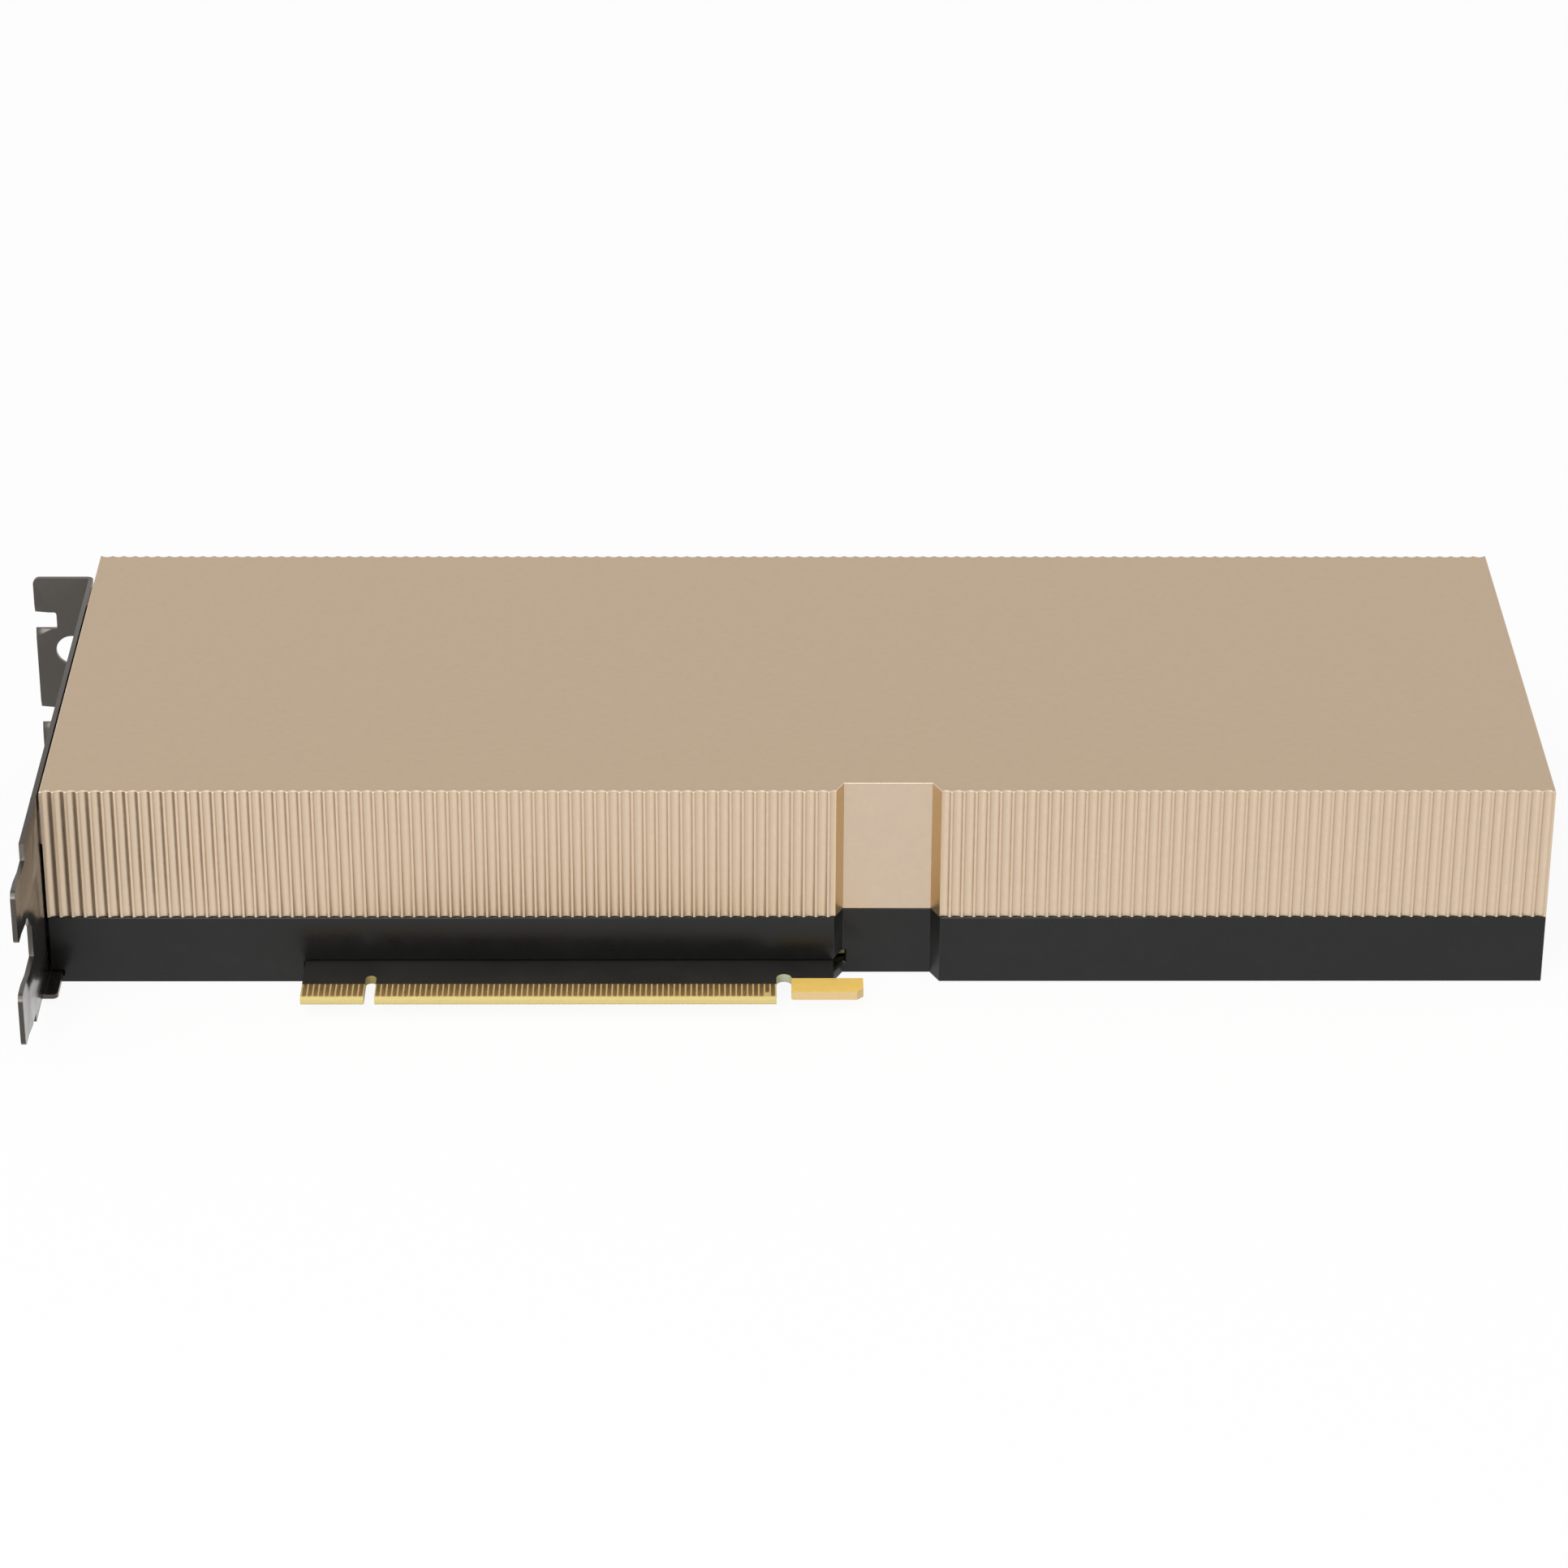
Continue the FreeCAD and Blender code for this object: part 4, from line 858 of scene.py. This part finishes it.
def make_camera():
    """The camera, turned from a level view along +Y by its pitch, yaw and roll."""
    data = bpy.data.cameras.new("camera")
    data.sensor_width = SENSOR
    data.lens = LENS
    data.clip_start = CLIP_START
    camera = bpy.data.objects.new("camera", data)
    bpy.context.scene.collection.objects.link(camera)
    pitch, yaw, roll = map(math.radians, (CAMERA_PITCH, CAMERA_YAW, CAMERA_ROLL))
    forward = Vector((math.sin(yaw) * math.cos(pitch), math.cos(yaw) * math.cos(pitch), -math.sin(pitch)))
    right = Vector((math.cos(yaw), -math.sin(yaw), 0))
    down = forward.cross(right)
    side = math.cos(roll) * right + math.sin(roll) * down
    up = math.sin(roll) * right - math.cos(roll) * down
    turn = Matrix((side, up, -forward)).transposed().to_4x4()
    camera.matrix_world = Matrix.Translation(CAMERA_PLACE) @ turn
    bpy.context.scene.camera = camera


def make_lamp(name, place, size, power):
    """A round lamp that points at the card."""
    data = bpy.data.lights.new(name, "AREA")
    data.shape = "DISK"
    data.size = size
    data.energy = power
    lamp = bpy.data.objects.new(name, data)
    lamp.location = place
    lamp.rotation_mode = "QUATERNION"
    lamp.rotation_quaternion = (LAMP_TARGET - Vector(place)).to_track_quat("-Z", "Y")
    bpy.context.scene.collection.objects.link(lamp)


def seen_ray(tree):
    """1 for rays from the camera, a glossy surface or through glass; 0 for light on the object."""
    path = tree.nodes.new("ShaderNodeLightPath")
    total = path.outputs["Is Camera Ray"]
    for name in ("Is Glossy Ray", "Is Transmission Ray"):
        adding = tree.nodes.new("ShaderNodeMath")
        adding.operation = "MAXIMUM"
        tree.links.new(total, adding.inputs[0])
        tree.links.new(path.outputs[name], adding.inputs[1])
        total = adding.outputs[0]
    return total


def make_world():
    """A white world that lights the object more dimly than it shows."""
    world = bpy.data.worlds.new("studio")
    bpy.context.scene.world = world
    world.use_nodes = True
    tree = world.node_tree
    background = tree.nodes["Background"]
    background.inputs["Color"].default_value = (1, 1, 1, 1)
    level = spread(tree, seen_ray(tree), WORLD_LIGHT, WORLD_SEEN, 0, 1)
    tree.links.new(level, background.inputs["Strength"])


def floor_material():
    """Grey that takes the shadow, mixed with white that only the camera and mirrors see."""
    material = bpy.data.materials.new("floor")
    material.use_nodes = True
    tree = material.node_tree
    tree.nodes.clear()
    diffuse = tree.nodes.new("ShaderNodeBsdfDiffuse")
    diffuse.inputs["Color"].default_value = (FLOOR_GREY, FLOOR_GREY, FLOOR_GREY, 1)
    white = tree.nodes.new("ShaderNodeEmission")
    white.inputs["Color"].default_value = (1, 1, 1, 1)
    place = tree.nodes.new("ShaderNodeTexCoord")
    away = tree.nodes.new("ShaderNodeVectorMath")
    away.operation = "LENGTH"
    tree.links.new(place.outputs["Object"], away.inputs[0])
    share = tree.nodes.new("ShaderNodeMath")
    share.operation = "MULTIPLY"
    tree.links.new(seen_ray(tree), share.inputs[0])
    tree.links.new(spread(tree, away.outputs["Value"], WHITE_NEAR, WHITE_FAR, NEAR, FAR), share.inputs[1])
    mix = tree.nodes.new("ShaderNodeMixShader")
    tree.links.new(share.outputs[0], mix.inputs["Fac"])
    tree.links.new(diffuse.outputs[0], mix.inputs[1])
    tree.links.new(white.outputs[0], mix.inputs[2])
    output = tree.nodes.new("ShaderNodeOutputMaterial")
    tree.links.new(mix.outputs[0], output.inputs["Surface"])
    return material


def make_floor():
    """A pale floor that shows white, keeps the object's shadow and meets the world without a line."""
    bm = bmesh.new()
    bmesh.ops.create_grid(bm, x_segments=24, y_segments=24, size=FLOOR_REACH)
    mesh = bpy.data.meshes.new("floor")
    bm.to_mesh(mesh)
    bm.free()
    mesh.materials.append(floor_material())
    floor = bpy.data.objects.new("floor", mesh)
    floor.location.z = cad_low.z - FLOOR_GAP
    bpy.context.scene.collection.objects.link(floor)


# ---------------------------------------------------------------- run

bpy.context.scene.view_settings.view_transform = "Standard"
make_camera()
make_world()
make_floor()
for lamp_name, lamp_settings in LAMPS.items():
    make_lamp(lamp_name, *lamp_settings)

finishes = make_finishes()
# The walls', edge's and recess's finishes are copies of the roof's anodising whose colours carry painted
# light and shade.
make_cover(finishes["gold_anodised"], gold_walls_painted_lit(), gold_edge_painted_highlight(), gold_recess_floor_painted_shade(),
           gold_recess_slopes_painted_reflection())
make_frame(finishes["black_anodised"])
# The key notch's laminate colour is painted darker, as painted shade in the notch.
make_board(finishes["solder_mask"], laminate("bare_laminate", (0.50, 0.41, 0.158)),
           laminate("key_notch_painted_shade", (0.30, 0.24, 0.09)), laminate("routed_gap", (0.40, 0.42, 0.30)))
make_contacts("component_side_contacts", BOARD_HIGH.z, BOARD_HIGH.z + PLATING,
              PADS_BEFORE + PADS_AFTER - 2, finishes["gold_plating"])
make_contacts("solder_side_contacts", BOARD_LOW.z - PLATING, BOARD_LOW.z, 0, finishes["gold_plating"])
# The hook's top is painted brighter and its cut edges darker than one plating: painted light on the top,
# painted shade on the edges.
make_hook(matte_gold("hook_top_painted_lit", (0.85, 0.60, 0.15)), matte_gold("hook_edge_painted_shade", (0.56, 0.41, 0.19)))
make_bracket(finishes["bracket_steel"])
make_bracket_screws(finishes["screw_steel"])
make_sunk_screws("cover_screws", COVER_SCREWS, finishes["screw_steel"])
make_sunk_screws("lug_screw", [LUG_SCREW], finishes["screw_steel"])
make_socket(finishes["connector_black"])

slots = {row["node"]: row["material_slot"] for row in frame["record"]["subparts"]}
for node, item in frame["nodes"].items():
    item.data.materials.clear()
    item.data.materials.append(finishes[slots[node]])
